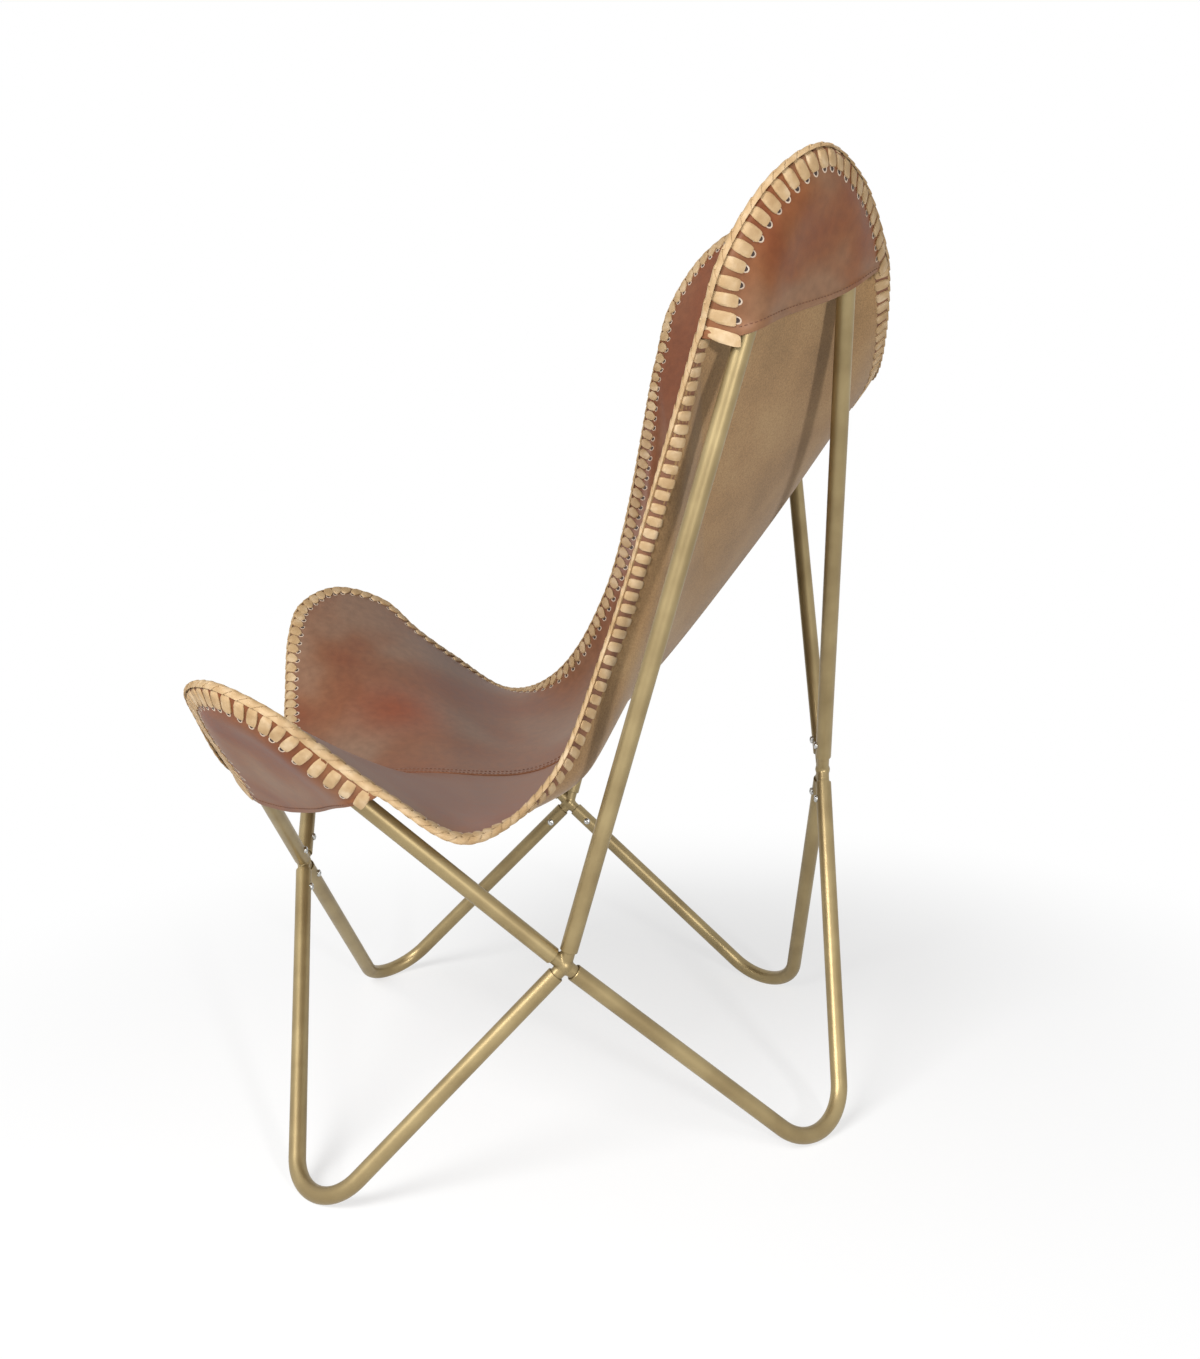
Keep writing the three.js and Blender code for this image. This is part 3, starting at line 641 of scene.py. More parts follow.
@dataclass(frozen=True)
class BrassPowderCoat:
    """Steel under a metallic powder coat: antique brass, satin, with flakes and a faint orange peel."""

    name: str = "brass_powder_coat"
    stops: Stops = ((0.35, "#8b7955"), (0.65, "#9d8b64"))
    patch_mm: float = 45
    flake_mm: float = 0.9
    metallic: float = 0.7
    roughness: float = 0.4
    rubbed: float = -0.06  # change of the roughness on the smoothest flakes
    dull: float = 0.08

    def make(self) -> bpy.types.Material:
        """The material."""
        look = Look(self.name)
        flake = look.noise(self.flake_mm, detail=2.0)
        return look.finished({
            "Base Color": look.ramp(look.noise(self.patch_mm, detail=3.0), self.stops),
            "Roughness": look.roughness(flake, self.roughness + self.rubbed, self.roughness + self.dull),
            "Normal": look.bump(flake, strength=0.06, depth_mm=0.3),
            "Metallic": self.metallic,
        })


@dataclass(frozen=True)
class ZincPlate:
    """Zinc-plated steel screws, tumbled: bright grey with fine swirl marks."""

    name: str = "zinc_plated_steel"
    stops: Stops = ((0.3, "#a9a9a6"), (0.7, "#d2d2cf"))
    swirl_mm: float = 1.4
    roughness: float = 0.26

    def make(self) -> bpy.types.Material:
        """The material."""
        look = Look(self.name)
        return look.finished({
            "Base Color": look.ramp(look.noise(self.swirl_mm, detail=3.0), self.stops),
            "Roughness": self.roughness,
            "Metallic": 1.0,
        })


class Wardrobe:
    """All finishes of the chair, each made once."""

    def __init__(self) -> None:
        """Makes the materials."""
        self.sling_face = GrainLeather(worn_at=(-134, -190, 365)).make()
        pocket_clouds = ((0.36, "#733f22"), (0.5, "#7c4d2e"), (0.66, "#836147"))
        self.pocket_face = GrainLeather("glazed_pocket_hide", pocket_clouds, cloud_mm=120).make()
        self.suede = FleshSide().make()
        lace_stops = ((0.3, "#9a7c55"), (0.5, "#a88c66"), (0.7, "#b9a180"))
        self.lace = RawLeather("vegetable_tanned_lace", lace_stops).make()
        self.cut = RawLeather("cut_hide_edge", ((0.3, "#5f3d2a"), (0.7, "#7b5238"))).make()
        self.thread = RawLeather("waxed_thread", ((0.3, "#4b2c1b"), (0.7, "#6b4129"))).make()
        self.rim = RawLeather("burnished_hole_rim", ((0.3, "#a08a76"), (0.7, "#c4b3a0"))).make()
        # painted shade: a dark disc that stands for the depth of a punched hole
        self.hole = RawLeather("punched_hole", ((0.3, "#23150e"), (0.7, "#38231a"))).make()
        self.brass = BrassPowderCoat().make()
        self.zinc = ZincPlate().make()

    def sling(self) -> list[bpy.types.Material]:
        """Materials of a sling half, in the order of Finish."""
        return [self.sling_face, self.suede, self.cut, self.thread, self.hole]

    def pocket(self) -> list[bpy.types.Material]:
        """Materials of a pocket, in the order of Finish."""
        return [self.pocket_face, self.suede, self.cut, self.thread, self.hole]

    def laces(self) -> list[bpy.types.Material]:
        """Materials of a run of lace, in the order of Finish."""
        return [self.lace, self.rim, self.cut, self.thread, self.hole]


# Frame


@dataclass
class Crossing:
    """A place where four tubes meet on one welded connector, each with the number of its end there."""

    name: str
    place: Points
    inward: Points
    stubs: list[tuple[BentTube, int]]


@dataclass(frozen=True)
class Corner:
    """Where a left tube's legs would meet, in the source's own axes, and the radius of the bend there."""

    place: Triple
    bend: float


@dataclass
class TubeFrame:
    """Bent tubes, their connectors and screws, all sizes in millimetres."""

    front_crossing: Triple = (0, -278, 233)
    rear_crossing: Triple = (0, 267, 310)
    side_crossing: Triple = (287, -3, 212)
    front_foot: Corner = Corner((310, -251, 0), 50)
    rear_foot: Corner = Corner((210, 251, 0), 53)
    front_loop: Corner = Corner((358, -290, 501), 52)
    back_loop: Corner = Corner((356, 255, 1041), 60)
    tube: float = 16
    wall: float = 1.3
    stub_play: float = 0.35
    stub_length: float = 54
    stub_chamfer: float = 1
    stub_tip: float = 0.85  # of the stub's radius
    pole: float = 0.02  # small share or angle that keeps a ring from being a point
    end_gap: float = 11
    end_clearance: float = 0.5
    weld: float = 15.5
    bead: float = 4.2
    weld_voxel: float = 0.9
    settling_rounds: int = 4
    screw_distance: float = 32
    screw_head: float = 7.6
    screw_height: float = 2.4
    screw_depth: float = 7  # from the tube's skin to the end of the shank
    screw_chamfer: float = 1
    screw_sink: float = 0.9  # of the head's underside into the tube's curve
    shank_tip: float = 0.8  # of the shank's radius
    shank_share: float = 0.5  # of the head's radius, as the two below
    socket_share: float = 0.34
    crown_share: float = 0.5
    rim_share: float = 0.35  # of the head's height, as the two below
    socket_wall: float = 0.3
    socket_point: float = 0.22
    dome_degrees: float = 62
    foot_flat: float = 0.5
    bore_depth: float = 30
    lip: float = 0.5
    sides: int = 32

    def __post_init__(self) -> None:
        """Lays out the axes of all tubes and trims them at the crossings."""
        self.crossings = [
            Crossing("front_cross", point(*self.front_crossing), np.array([0, 1.0, 0]), []),
            Crossing("rear_cross", point(*self.rear_crossing), np.array([0, -1.0, 0]), []),
        ]
        self.tubes: dict[str, BentTube] = {}
        for side in Side:
            self._lay_out(side)
        for crossing in self.crossings:
            self._trim(crossing)

    def _lay_out(self, side: Side) -> None:
        """Adds one side's tubes and its crossing.

        Args:
            side: The side.
        """
        front_cross, rear_cross = self.crossings[:2]
        x, y, z = self.side_crossing
        side_cross = Crossing(f"{side.word}_cross", point(side.value * x, y, z), -side.value * X_AXIS, [])
        self.crossings.append(side_cross)
        ends = [
            ("front_foot", self._foot, self.front_foot, front_cross),
            ("rear_foot", self._foot, self.rear_foot, rear_cross),
            ("front_loop", BentTube, self.front_loop, front_cross),
            ("back_loop", BentTube, self.back_loop, rear_cross),
        ]
        for name, make, corner, far_cross in ends:
            x, y, z = corner.place
            tube = make(side_cross.place, point(side.value * x, y, z), far_cross.place, corner.bend)
            self.tubes[f"{name}_{side.word}"] = tube
            side_cross.stubs.append((tube, 0))
            far_cross.stubs.append((tube, 1))

    def _foot(self, start: Points, corner: Points, end: Points, bend: float, rounds: int = 12) -> BentTube:
        """A foot whose corner lies as far below the floor as its bend needs to stand on it.

        Args:
            start: Where the first leg begins.
            corner: Where the legs meet, with any Z.
            end: Where the second leg ends.
            bend: The radius of the bend.
            rounds: How many times the corner's Z is mended.

        Returns:
            The foot's axis.
        """
        corner = corner.copy()
        tube = BentTube(start, corner, end, bend)
        for _ in range(rounds):
            dip = math.hypot(tube.tip[2], tube.wide[2]) * bend
            corner[2] += self.tube / 2 - self.foot_flat - (tube.center[2] - dip)
            tube = BentTube(start, corner, end, bend)
        return tube

    def _trim(self, crossing: Crossing) -> None:
        """Stops each tube short of its crossing, clear of its neighbours.

        Args:
            crossing: The crossing.
        """
        for tube, end in crossing.stubs:
            others = [t.legs[e] for t, e in crossing.stubs if t is not tube]
            angle = min(math.acos(float(tube.legs[end] @ other)) for other in others)
            clear = (self.tube / 2 + self.end_clearance) / math.tan(angle / 2)
            tube.trim(end, crossing.place, max(self.end_gap, clear))

    def _ring(self, place: Points, tangent: Points, normal: Points, radius: float) -> Points:
        """A circle of points round a tube's axis."""
        return place + radius * circle(self.sides, normal, np.cross(tangent, normal))

    def _rings(self, place: Points, axis: Points, normal: Points,
               profile: list[tuple[float, float]]) -> list[Points]:
        """Circles along an axis.

        Args:
            place: The axis's start.
            axis: Its direction.
            normal: The direction of each circle's first point.
            profile: A distance along the axis and a radius for each circle.

        Returns:
            The circles.
        """
        return [self._ring(place + axis * far, axis, normal, radius) for far, radius in profile]

    def build_tube(self, name: str, brass: bpy.types.Material) -> None:
        """Makes one bent tube with its rolled lips and the first stretch of its bore.

        Args:
            name: The tube's node.
            brass: Its material.
        """
        tube = self.tubes[name]
        places, tangents = tube.stations()
        outer, bore = self.tube / 2, self.tube / 2 - self.wall
        mouth = [(self.bore_depth, bore), (self.lip, bore), (0, bore + self.lip / 2), (0, outer - self.lip),
                 (self.lip, outer)]
        first = self._rings(places[0], tangents[0], tube.normal, mouth)
        middle = [self._ring(p, t, tube.normal, outer) for p, t in zip(places[1:-1], tangents[1:-1])]
        last = [self._ring(places[-1] - tangents[-1] * depth, tangents[-1], tube.normal, radius)
                for depth, radius in reversed(mouth)]
        skin = np.array([*first, *middle, *last])
        skin[..., 2] = np.maximum(skin[..., 2], 0)
        draft = Draft()
        draft.closed_sweep(skin)
        piece = draft.build(f"{name}_tube", [brass])
        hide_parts(name)

    def build_connector(self, crossing: Crossing, brass: bpy.types.Material) -> None:
        """Makes one connector: four stubs run together in a weld.

        Args:
            crossing: Where it is.
            brass: Its material.
        """
        draft = Draft()
        stub = self.tube / 2 - self.wall - self.stub_play
        profile = [(0, self.pole * stub), (0, stub), (self.stub_length - self.stub_chamfer, stub),
                   (self.stub_length, self.stub_tip * stub)]
        directions = [-tube.legs[end] for tube, end in crossing.stubs]
        for direction in directions:
            square = unit(np.cross(direction, crossing.inward))
            draft.closed_sweep(np.array(self._rings(crossing.place, direction, square, profile)))
        for first in directions:
            for second in directions:
                blob = crossing.place + (first + second) * self.weld / 4
                self._ball(draft, blob, self.bead if first is not second else stub)
        self._ball(draft, crossing.place, self.weld / 2)
        piece = draft.build(f"{crossing.name}_weldment", [brass])
        self._run_together(piece)
        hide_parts(crossing.name)

    def _run_together(self, piece: bpy.types.Object) -> None:
        """Makes one smooth skin of a piece's overlapping forms.

        Args:
            piece: The piece.
        """
        fused = piece.modifiers.new("weld", "REMESH")
        fused.mode = "VOXEL"
        fused.voxel_size = self.weld_voxel * MM
        fused.use_smooth_shade = True
        settled = piece.modifiers.new("settle", "SMOOTH")
        settled.factor = 0.5
        settled.iterations = self.settling_rounds
        seen = piece.evaluated_get(bpy.context.evaluated_depsgraph_get())
        piece.data = bpy.data.meshes.new_from_object(seen)
        piece.modifiers.clear()

    def _ball(self, draft: Draft, place: Points, radius: float) -> None:
        """Adds a ball with small flats at its poles."""
        angles = np.linspace(-math.pi / 2 + self.pole, math.pi / 2 - self.pole, 9)
        profile = [(radius * math.sin(angle), radius * math.cos(angle)) for angle in angles]
        draft.closed_sweep(np.array(self._rings(place, Z_AXIS, X_AXIS, profile)))

    def build_screws(self, crossing: Crossing, zinc: bpy.types.Material) -> None:
        """Makes the four button-head screws of a crossing, each with a hexagon socket.

        Args:
            crossing: Where they are.
            zinc: Their material.
        """
        for number, (tube, end) in enumerate(crossing.stubs, start=1):
            direction = -tube.legs[end]
            outward = unit(across(crossing.inward, direction))
            seat = crossing.place + direction * self.screw_distance + outward * self.tube / 2
            draft = Draft()
            draft.closed_sweep(np.array(self._screw_rings(seat, outward, direction)))
            node = f"{crossing.name}_screw_{number}"
            piece = draft.build(f"{node}_button_head", [zinc], sharp_degrees=35)
            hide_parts(node)

    def _screw_rings(self, seat: Points, outward: Points, direction: Points) -> list[Points]:
        """A screw's skin.

        Args:
            seat: Where its axis meets the tube's skin.
            outward: The axis, out from the tube.
            direction: The direction of each ring's first point.

        Returns:
            Rings from the end of the shank over the head to the bottom of the socket.
        """
        head, height = self.screw_head / 2, self.screw_height
        shank, depth = head * self.shank_share, self.screw_depth
        dome = math.radians(self.dome_degrees)
        profile = [(-depth, shank * self.shank_tip), (self.screw_chamfer - depth, shank),
                   (-self.screw_sink, shank), (-self.screw_sink, head), (self.rim_share * height, head)]
        for turn in dome * np.arange(1, 6) / 5:
            lift = self.rim_share + (1 - self.rim_share) * math.sin(turn) / math.sin(dome)
            drawn_in = self.crown_share * (1 - math.cos(turn)) / (1 - math.cos(dome))
            profile.append((height * lift, head * (1 - drawn_in)))
        rings = self._rings(seat, outward, direction, profile)
        turn = 2 * math.pi * np.arange(self.sides) / self.sides
        to_flat = (turn + math.pi / 6) % (math.pi / 3) - math.pi / 6
        hexagon = (head * self.socket_share / np.cos(to_flat))[:, None]
        for lift, grow in ((1, 1.0), (self.socket_wall, 1.0), (self.socket_point, 0.1)):
            place = seat + outward * height * lift
            rings.append(place + (self._ring(place, outward, direction, 1) - place) * hexagon * grow)
        return rings

    def build(self, wardrobe: Wardrobe) -> None:
        """Makes every tube, connector and screw.

        Args:
            wardrobe: The finishes.
        """
        for name in self.tubes:
            self.build_tube(name, wardrobe.brass)
            log.info("tube %s", name)
        for crossing in self.crossings:
            self.build_connector(crossing, wardrobe.brass)
            self.build_screws(crossing, wardrobe.zinc)
            log.info("connector %s", crossing.name)


# Sling


class EdgePoint(Enum):
    """Places along the left edge, as numbers of the edge's control points."""

    FRONT_MIDDLE = 0
    FRONT_HEM = 1
    FRONT_TIP = 4
    SIDE_HEM = 7
    SIDE_LOW = 8
    SIDE_TURN = 9
    WAIST = 10
    WING_HEM = 11
    BACK_TIP = 14
    TOP_HEM = 17
    TOP_MIDDLE = 18


ROOTS = {  # numbers along the centre line's knots, from which the leather runs out to places on the edge
    EdgePoint.FRONT_MIDDLE: 0,
    EdgePoint.FRONT_HEM: 0.45,
    EdgePoint.FRONT_TIP: 1.05,
    EdgePoint.SIDE_HEM: 1.45,
    EdgePoint.SIDE_LOW: 1.75,
    EdgePoint.SIDE_TURN: 2.2,
    EdgePoint.WAIST: 2.85,
    EdgePoint.WING_HEM: 3.6,
    EdgePoint.BACK_TIP: 4.15,
    EdgePoint.TOP_HEM: 4.62,
    EdgePoint.TOP_MIDDLE: 5,
}
CENTRE_KNOTS = ((-294, 325), (-150, 322), (-22, 322), (64, 389), (196, 542), (320, 708))  # Y and Z
SEAT_KNOT = 2
EVEN_SHARE = 0.94  # of the way from the centre line to the edge, up to which columns are evenly spaced
EDGE_SHARES = (0.962, 0.982, 1)
FRONT_ARC = ((-84, 41, 3), (-48, 26, 3), (0, 22, 3), (44, 22, 5), (82, 25, 6))  # as SlingHalf._tip takes them
BACK_ARC = ((85, 34, 14), (42, 22, 7), (2, 22, 2), (-42, 19, 1), (-83, 46, 2))
FRONT_POCKET = (0.84, 6.83)  # from mouth to mouth, as numbers along the edge's control points
BACK_POCKET = (11.12, 16.93)
LACE_PITCH = 14.5  # from wrap to wrap along the pockets
SIDE_PITCH = 12.2  # the same along the free edge between them
HEM_ROWS = (0, 0.008, 0.018, 0.028, 0.036, 0.044, 0.06)  # shares of the way from a pocket's mouth to its tip
BODY_ROWS = np.linspace(0.085, 1, 34)
MOUTH_SHARES = (0, 0.12, 0.3, 0.6, 0.85, 1)  # of the way along a mouth, for the ends and the slides between
NO_TUBE = -1e3  # a height below any leather


@dataclass
class EdgeFrame:
    """The leather's own directions at places along one half's edge."""

    places: Points
    tangents: Points
    outs: Points
    ups: Points
    counts: Points
    lengths: Points

    def at(self, counts: Points) -> Spot:
        """Places, tangents, outs and ups at numbers along the edge's control points."""
        values = (self.places, self.tangents, self.outs, self.ups)
        place, *directions = [interpolate(counts, self.counts, value) for value in values]
        return (place, *map(unit, directions))

    def wrap_step(self) -> float:
        """The distance along the edge from wrap to wrap of the lace."""
        return float(self.lengths[-1] / round(self.lengths[-1] / LACE_PITCH))

    def between_wraps(self, count: float) -> float:
        """The edge's nearest place between two wraps.

        Args:
            count: A number along the edge's control points.

        Returns:
            The number of the nearest such place.
        """
        step = self.wrap_step()
        distance = round(float(np.interp(count, self.counts, self.lengths)) / step) * step
        return float(np.interp(distance, self.lengths, self.counts))


@dataclass
class SlingHalf:
    """One half of the sling, worked out on the left whichever side it is on."""

    side: Side
    frame: TubeFrame
    leather: float = 3
    edge_step: float = 6
    edge_bulge: float = 0.5
    hollow: float = 0.5
    curve: float = 0.4
    over_tube: float = 1.2
    waist_lean: float = 0
    curl_degrees: float = 41
    curl_width: float = 64
    curl_at: tuple[float, float, float, float] = (8.3, 9.3, 10.4, 11.1)  # starts, full, going, gone
    # width of a dark brown strip along the edge on the back, coloured as the cut edge
    dark_margin: float = 12
    margin_inset: float = 0.6
    margin_proud: float = 0.15
    margin_sunk: float = 0.4
    columns: int = 46
    draping_rounds: int = 60
    lifting_rounds: int = 90
    lift_spread: float = 0.97
    settling_rounds: int = 2
    cut: tuple[float, float] = (0.40, 0.92)  # of the blank, in metres
    cut_area: float = 0.293

    def __post_init__(self) -> None:
        """Works out the leather's middle and its edge."""
        self.seat = point(0, *CENTRE_KNOTS[SEAT_KNOT])
        self.front_loop = self.frame.tubes["front_loop_left"]
        self.back_loop = self.frame.tubes["back_loop_left"]
        self.grid, self.edge = self._surface()

    def _tip(self, loop: BentTube, arc: tuple[Triple, ...]) -> list[Points]:
        """Control points of the edge round a tip.

        Args:
            loop: The loop that the tip hangs on.
            arc: Degrees round the loop's bend, leather beyond the tube and lift, for each point.

        Returns:
            The points.
        """
        front = loop.front(self.seat)
        radius = loop.bend + self.frame.tube / 2
        places = []
        for angle, beyond, lift in arc:
            places.append(loop.around(math.radians(angle), radius + beyond) + front * lift)
        return places

    def _controls(self) -> Points:
        """Control points of the half's edge, from the middle of the front to the middle of the top."""
        return np.array([
            point(0, *CENTRE_KNOTS[0]),
            point(153, -314, 374),
            *self._tip(self.front_loop, FRONT_ARC),
            point(358, -141, 387),
            point(352, -78, 345),
            point(280, -9, 376),
            point(242, 40 + self.waist_lean, 480),
            point(330, 123, 737),
            *self._tip(self.back_loop, BACK_ARC),
            point(183, 303, 799),
            point(0, *CENTRE_KNOTS[-1]),
        ])

    def _edge_line(self, steps: int = 60) -> tuple[Points, Points, Points]:
        """The edge as points an even distance apart.

        Args:
            steps: Points between two controls of the curve that they are taken from.

        Returns:
            The points, their numbers along the controls and their distances along the edge.
        """
        controls = self._controls()
        other_half = controls[1:-1][::-1] * MIRROR
        line = smooth_line(np.concatenate([controls, other_half]), steps, closed=True)
        line = line[: (len(controls) - 1) * steps + 1]
        run = lengths_along(line)
        even = np.linspace(0, run[-1], int(run[-1] / self.edge_step) + 1)
        return interpolate(even, run, line), np.interp(even, run, np.arange(len(line)) / steps), even

    def centre_line(self, steps: int = 40) -> Points:
        """The middle of the sling, from the front edge over seat and back to the top edge."""
        return smooth_line(np.array([point(0, y, z) for y, z in CENTRE_KNOTS]), steps)

    def _roots(self, counts: Points, steps: int = 40, reach: int = 12) -> Points:
        """Places on the centre line that the leather runs out from.

        Args:
            counts: Places on the edge, as numbers along its control points.
            steps: Points of the centre line between two of its knots.
            reach: How many neighbours on each side even out a root.

        Returns:
            A place for each count.
        """
        numbers = np.interp(counts, [place.value for place in ROOTS], list(ROOTS.values()))
        kernel = np.ones(2 * reach + 1) / (2 * reach + 1)
        smooth = np.convolve(np.pad(numbers, reach, mode="reflect", reflect_type="odd"), kernel, mode="valid")
        smooth[0], smooth[-1] = ROOTS[EdgePoint.FRONT_MIDDLE], ROOTS[EdgePoint.TOP_MIDDLE]
        return pick(self.centre_line(steps), smooth * steps)

    def _surface(self) -> tuple[Points, EdgeFrame]:
        """Drapes the leather.

        Returns:
            The middle of the leather as a grid from the centre line to the edge, and the edge's frame.
        """
        places, counts, lengths = self._edge_line()
        roots = self._roots(counts)
        run = (places - roots)[:, None, :]
        sideways = run[..., 0] / np.maximum(np.hypot(run[..., 0], run[..., 1]), 1e-6)
        even = np.linspace(0, EVEN_SHARE, self.columns - len(EDGE_SHARES))
        shares = np.concatenate([even, EDGE_SHARES])[None, :]
        grid = np.stack([
            run[..., 0] * shares,
            roots[:, None, 1] + run[..., 1] * shares ** (1 + self.curve * sideways),
            roots[:, None, 2] + run[..., 2] * shares ** (1 + self.hollow * sideways),
        ], axis=-1)
        for _ in range(self.draping_rounds):
            grid = neighbour_mean(grid)
        for loop in (self.front_loop, self.back_loop):
            grid = self._lifted(grid, loop)
        for _ in range(self.settling_rounds):
            grid[:, :-2] = neighbour_mean(grid)[:, :-2]
        grid = self._curled(grid, self._edge_frame(grid, places, counts, lengths))
        return grid, self._edge_frame(grid, places, counts, lengths)

    def _curled(self, grid: Points, edge: EdgeFrame) -> Points:
        """The grid with its free edge turned forward at the waist, as tight lace turns thick leather.

        Args:
            grid: The middle of the leather.
            edge: The edge's frame.

        Returns:
            The new grid, with the edge where it was.
        """
        steps = np.linalg.norm(np.diff(grid, axis=1), axis=-1)
        inward = from_edge(steps)
        where = np.interp(edge.counts, self.curl_at, (0, 1, 1, 0))
        easing = smooth_step(inward / self.curl_width)
        angle = math.radians(self.curl_degrees) * smooth_step(where)[:, None] * (1 - easing)
        middle = (angle[:, 1:] + angle[:, :-1]) / 2
        sunk = from_edge(np.sin(middle) * steps)
        drawn_in = from_edge((1 - np.cos(middle)) * steps)
        shift = edge.outs[:, None] * drawn_in[..., None] - edge.ups[:, None] * sunk[..., None]
        fade = 1 - smooth_step((inward - self.curl_width) / (inward[:, :1] - self.curl_width))
        return grid + shift * fade[..., None]

    def _edge_frame(self, grid: Points, places: Points, counts: Points, lengths: Points) -> EdgeFrame:
        """Directions along, out from and up from the grid's edge.

        Args:
            grid: The middle of the leather.
            places: The edge's points.
            counts: Their numbers along the control points.
            lengths: Their distances along the edge.

        Returns:
            The edge's frame.
        """
        held, smoothing_rounds = 4, 8
        near_edge = slice(-6, -1)
        tangents = unit(np.gradient(places, axis=0))
        tangents[0] = X_AXIS
        tangents[-1] = -X_AXIS
        ups = grid_normals(grid)[:, near_edge].mean(axis=1)
        ups[:held] = ups[held]
        ups[-held:] = ups[-held - 1]
        for _ in range(smoothing_rounds):
            ups[1:-1] = (ups[:-2] + 2 * ups[1:-1] + ups[2:]) / 4
        ups = unit(across(ups, tangents))
        outs = np.cross(tangents, ups)
        return EdgeFrame(places, tangents, outs, ups, counts, lengths)

    def _lifted(self, grid: Points, loop: BentTube) -> Points:
        """The grid with its leather laid over a loop's tube, and eased down on either side of it.

        Args:
            grid: The middle of the leather.
            loop: The loop.

        Returns:
            The new grid.
        """
        front = loop.front(self.seat)
        offset = grid - loop.nearest(grid)
        height = offset @ front
        aside = np.linalg.norm(offset - height[..., None] * front, axis=-1)
        reach = self.frame.tube / 2 + self.over_tube + self.leather / 2
        needed = np.sqrt(np.maximum(reach**2 - aside**2, 0))
        lift = np.where(aside < reach, np.maximum(needed - height, 0), 0)
        eased = lift.copy()
        for _ in range(self.lifting_rounds):
            eased = np.maximum(lift, self.lift_spread * neighbour_mean(eased))
        return grid + eased[..., None] * front

    def turned(self, places: Points) -> Points:
        """Points on this half's own side."""
        return places * np.array([self.side.value, 1, 1])

    def build(self, wardrobe: Wardrobe) -> None:
        """Makes the half: a shell with a glazed face, a suede back and cut edges.

        Args:
            wardrobe: The finishes.
        """
        normals = grid_normals(self.grid)
        normals[:, 0, 0] = 0
        normals = unit(normals)
        face = self.grid + normals * self.leather / 2
        back = self.grid - normals * self.leather / 2
        face[:, 0, 0] = back[:, 0, 0] = 0
        self.face_skins, self.back_skins = [face], [back]
        self.pocket_skins, self.drawn_out_skins, self.pocket_spans = [], [], []
        draft = Draft()
        draft.grid(self.turned(face), Finish.FACE)
        draft.grid(self.turned(back), Finish.BACK)
        bulge = self.edge.places + self.edge.outs * self.edge_bulge
        draft.grid(self.turned(np.stack([face[:, -1], bulge, back[:, -1]], axis=1)), Finish.CUT)
        draft.grid(self.turned(np.stack([face[:, 0], back[:, 0]], axis=1)), Finish.CUT)
        draft.closed_sweep(self.turned(self._margin(back)), Finish.CUT)
        name = f"sling_half_{self.side.word}"
        self.piece = draft.build(f"{name}_leather", wardrobe.sling(), sharp_degrees=50)
        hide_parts(name)

    def _margin(self, back: Points) -> Points:
        """A dark brown strip along the edge on the back, just proud of the suede.

        Args:
            back: The suede's surface.

        Returns:
            Rings of the strip, from one end of the edge to the other.
        """
        skin = Skin([back])
        inward = np.linspace(self.margin_inset, self.dark_margin, 4)
        rings = []
        for place, out, up in zip(self.edge.places, self.edge.outs, self.edge.ups):
            seats = [skin.under(place - out * reach, -up) for reach in inward]
            proud = [seat - up * self.margin_proud for seat in seats]
            sunk = [seat + up * self.margin_sunk for seat in seats]
            rings.append(proud + sunk[::-1])
        return np.array(rings)

    def hang(self, with_pieces: list[bpy.types.Object]) -> None:
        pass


@dataclass
class Pocket:
    """A second layer of leather behind a tip, drawn over the back of the loop."""

    half: SlingHalf
    name: str
    loop: BentTube
    tip: EdgePoint
    ends: tuple[float, float]
    mouth_slide: tuple[float, float, float, float]  # of the mouth towards the tip, from its first end on
    cut: tuple[float, float]  # of the blank, in metres
    cut_area: float
    leather: float = 2.5
    gap: float = 0.4
    seat_gap: float = 0.8
    rim_inset: float = 2
    hem: float = 0.9
    hem_width: float = 5
    hem_slope: float = 1.4
    fold_roll: float = 1.1
    stitch_margin: int = 9  # columns at each end of the hem that have no stitches
    drawn_out: tuple[float, float] = (18, 9)  # beyond the mouth, for tongues that lie over its ends
    columns: int = 64
    mouth_evening: int = 7  # columns over which the mouth's line is evened out
    evening_rounds: int = 220
    clearing_rounds: int = 12
    spreading_rounds: int = 30
    spread: float = 0.96

    def span(self) -> list[float]:
        """The mouth's two ends, each between two wraps of the lace."""
        return [self.half.edge.between_wraps(end) for end in self.ends]

    def _taut(self, shares: Points, heights: Points, needed: Points) -> Points:
        """Heights of a line drawn tight over what it has to clear.

        Args:
            shares: Places along the line.
            heights: The line's own heights, which hold at its ends.
            needed: The least height at each place.

        Returns:
            The heights of the tight line.
        """
        wanted = needed.copy()
        wanted[0], wanted[-1] = heights[0], heights[-1]
        hull: list[int] = []
        for i in range(len(shares)):
            while len(hull) > 1:
                a, b = hull[-2], hull[-1]
                rise = (wanted[b] - wanted[a]) * (shares[i] - shares[a])
                if rise > (wanted[i] - wanted[a]) * (shares[b] - shares[a]):
                    break
                hull.pop()
            hull.append(i)
        return np.interp(shares, shares[hull], wanted[hull])

    def _eased(self, level: Points, need: Points) -> Points:
        """Heights without sharp ridges, as thick leather has them.

        Args:
            level: Heights of tight lines, one for each row.
            need: The least heights that clear the tube.

        Returns:
            The eased heights.
        """
        for _ in range(self.evening_rounds):
            level = self._averaged(level)
        for _ in range(self.clearing_rounds):
            short = np.maximum(need - level, 0)
            for _ in range(self.spreading_rounds):
                short = np.maximum(self.spread * short, self._averaged(short))
            level[:, 1:-1] += short[:, 1:-1]
            level = self._averaged(level)
        return level

    def _averaged(self, values: Points) -> Points:
        """Each value as the mean of its neighbours, also along the mouth.

        Args:
            values: A grid with the mouth as its first row.

        Returns:
            A new grid, with the other rims as they were.
        """
        mean = neighbour_mean(values)
        mean[0, 1:-1] = (values[0, :-2] + values[0, 2:] + 2 * values[1, 1:-1]) / 4
        return mean

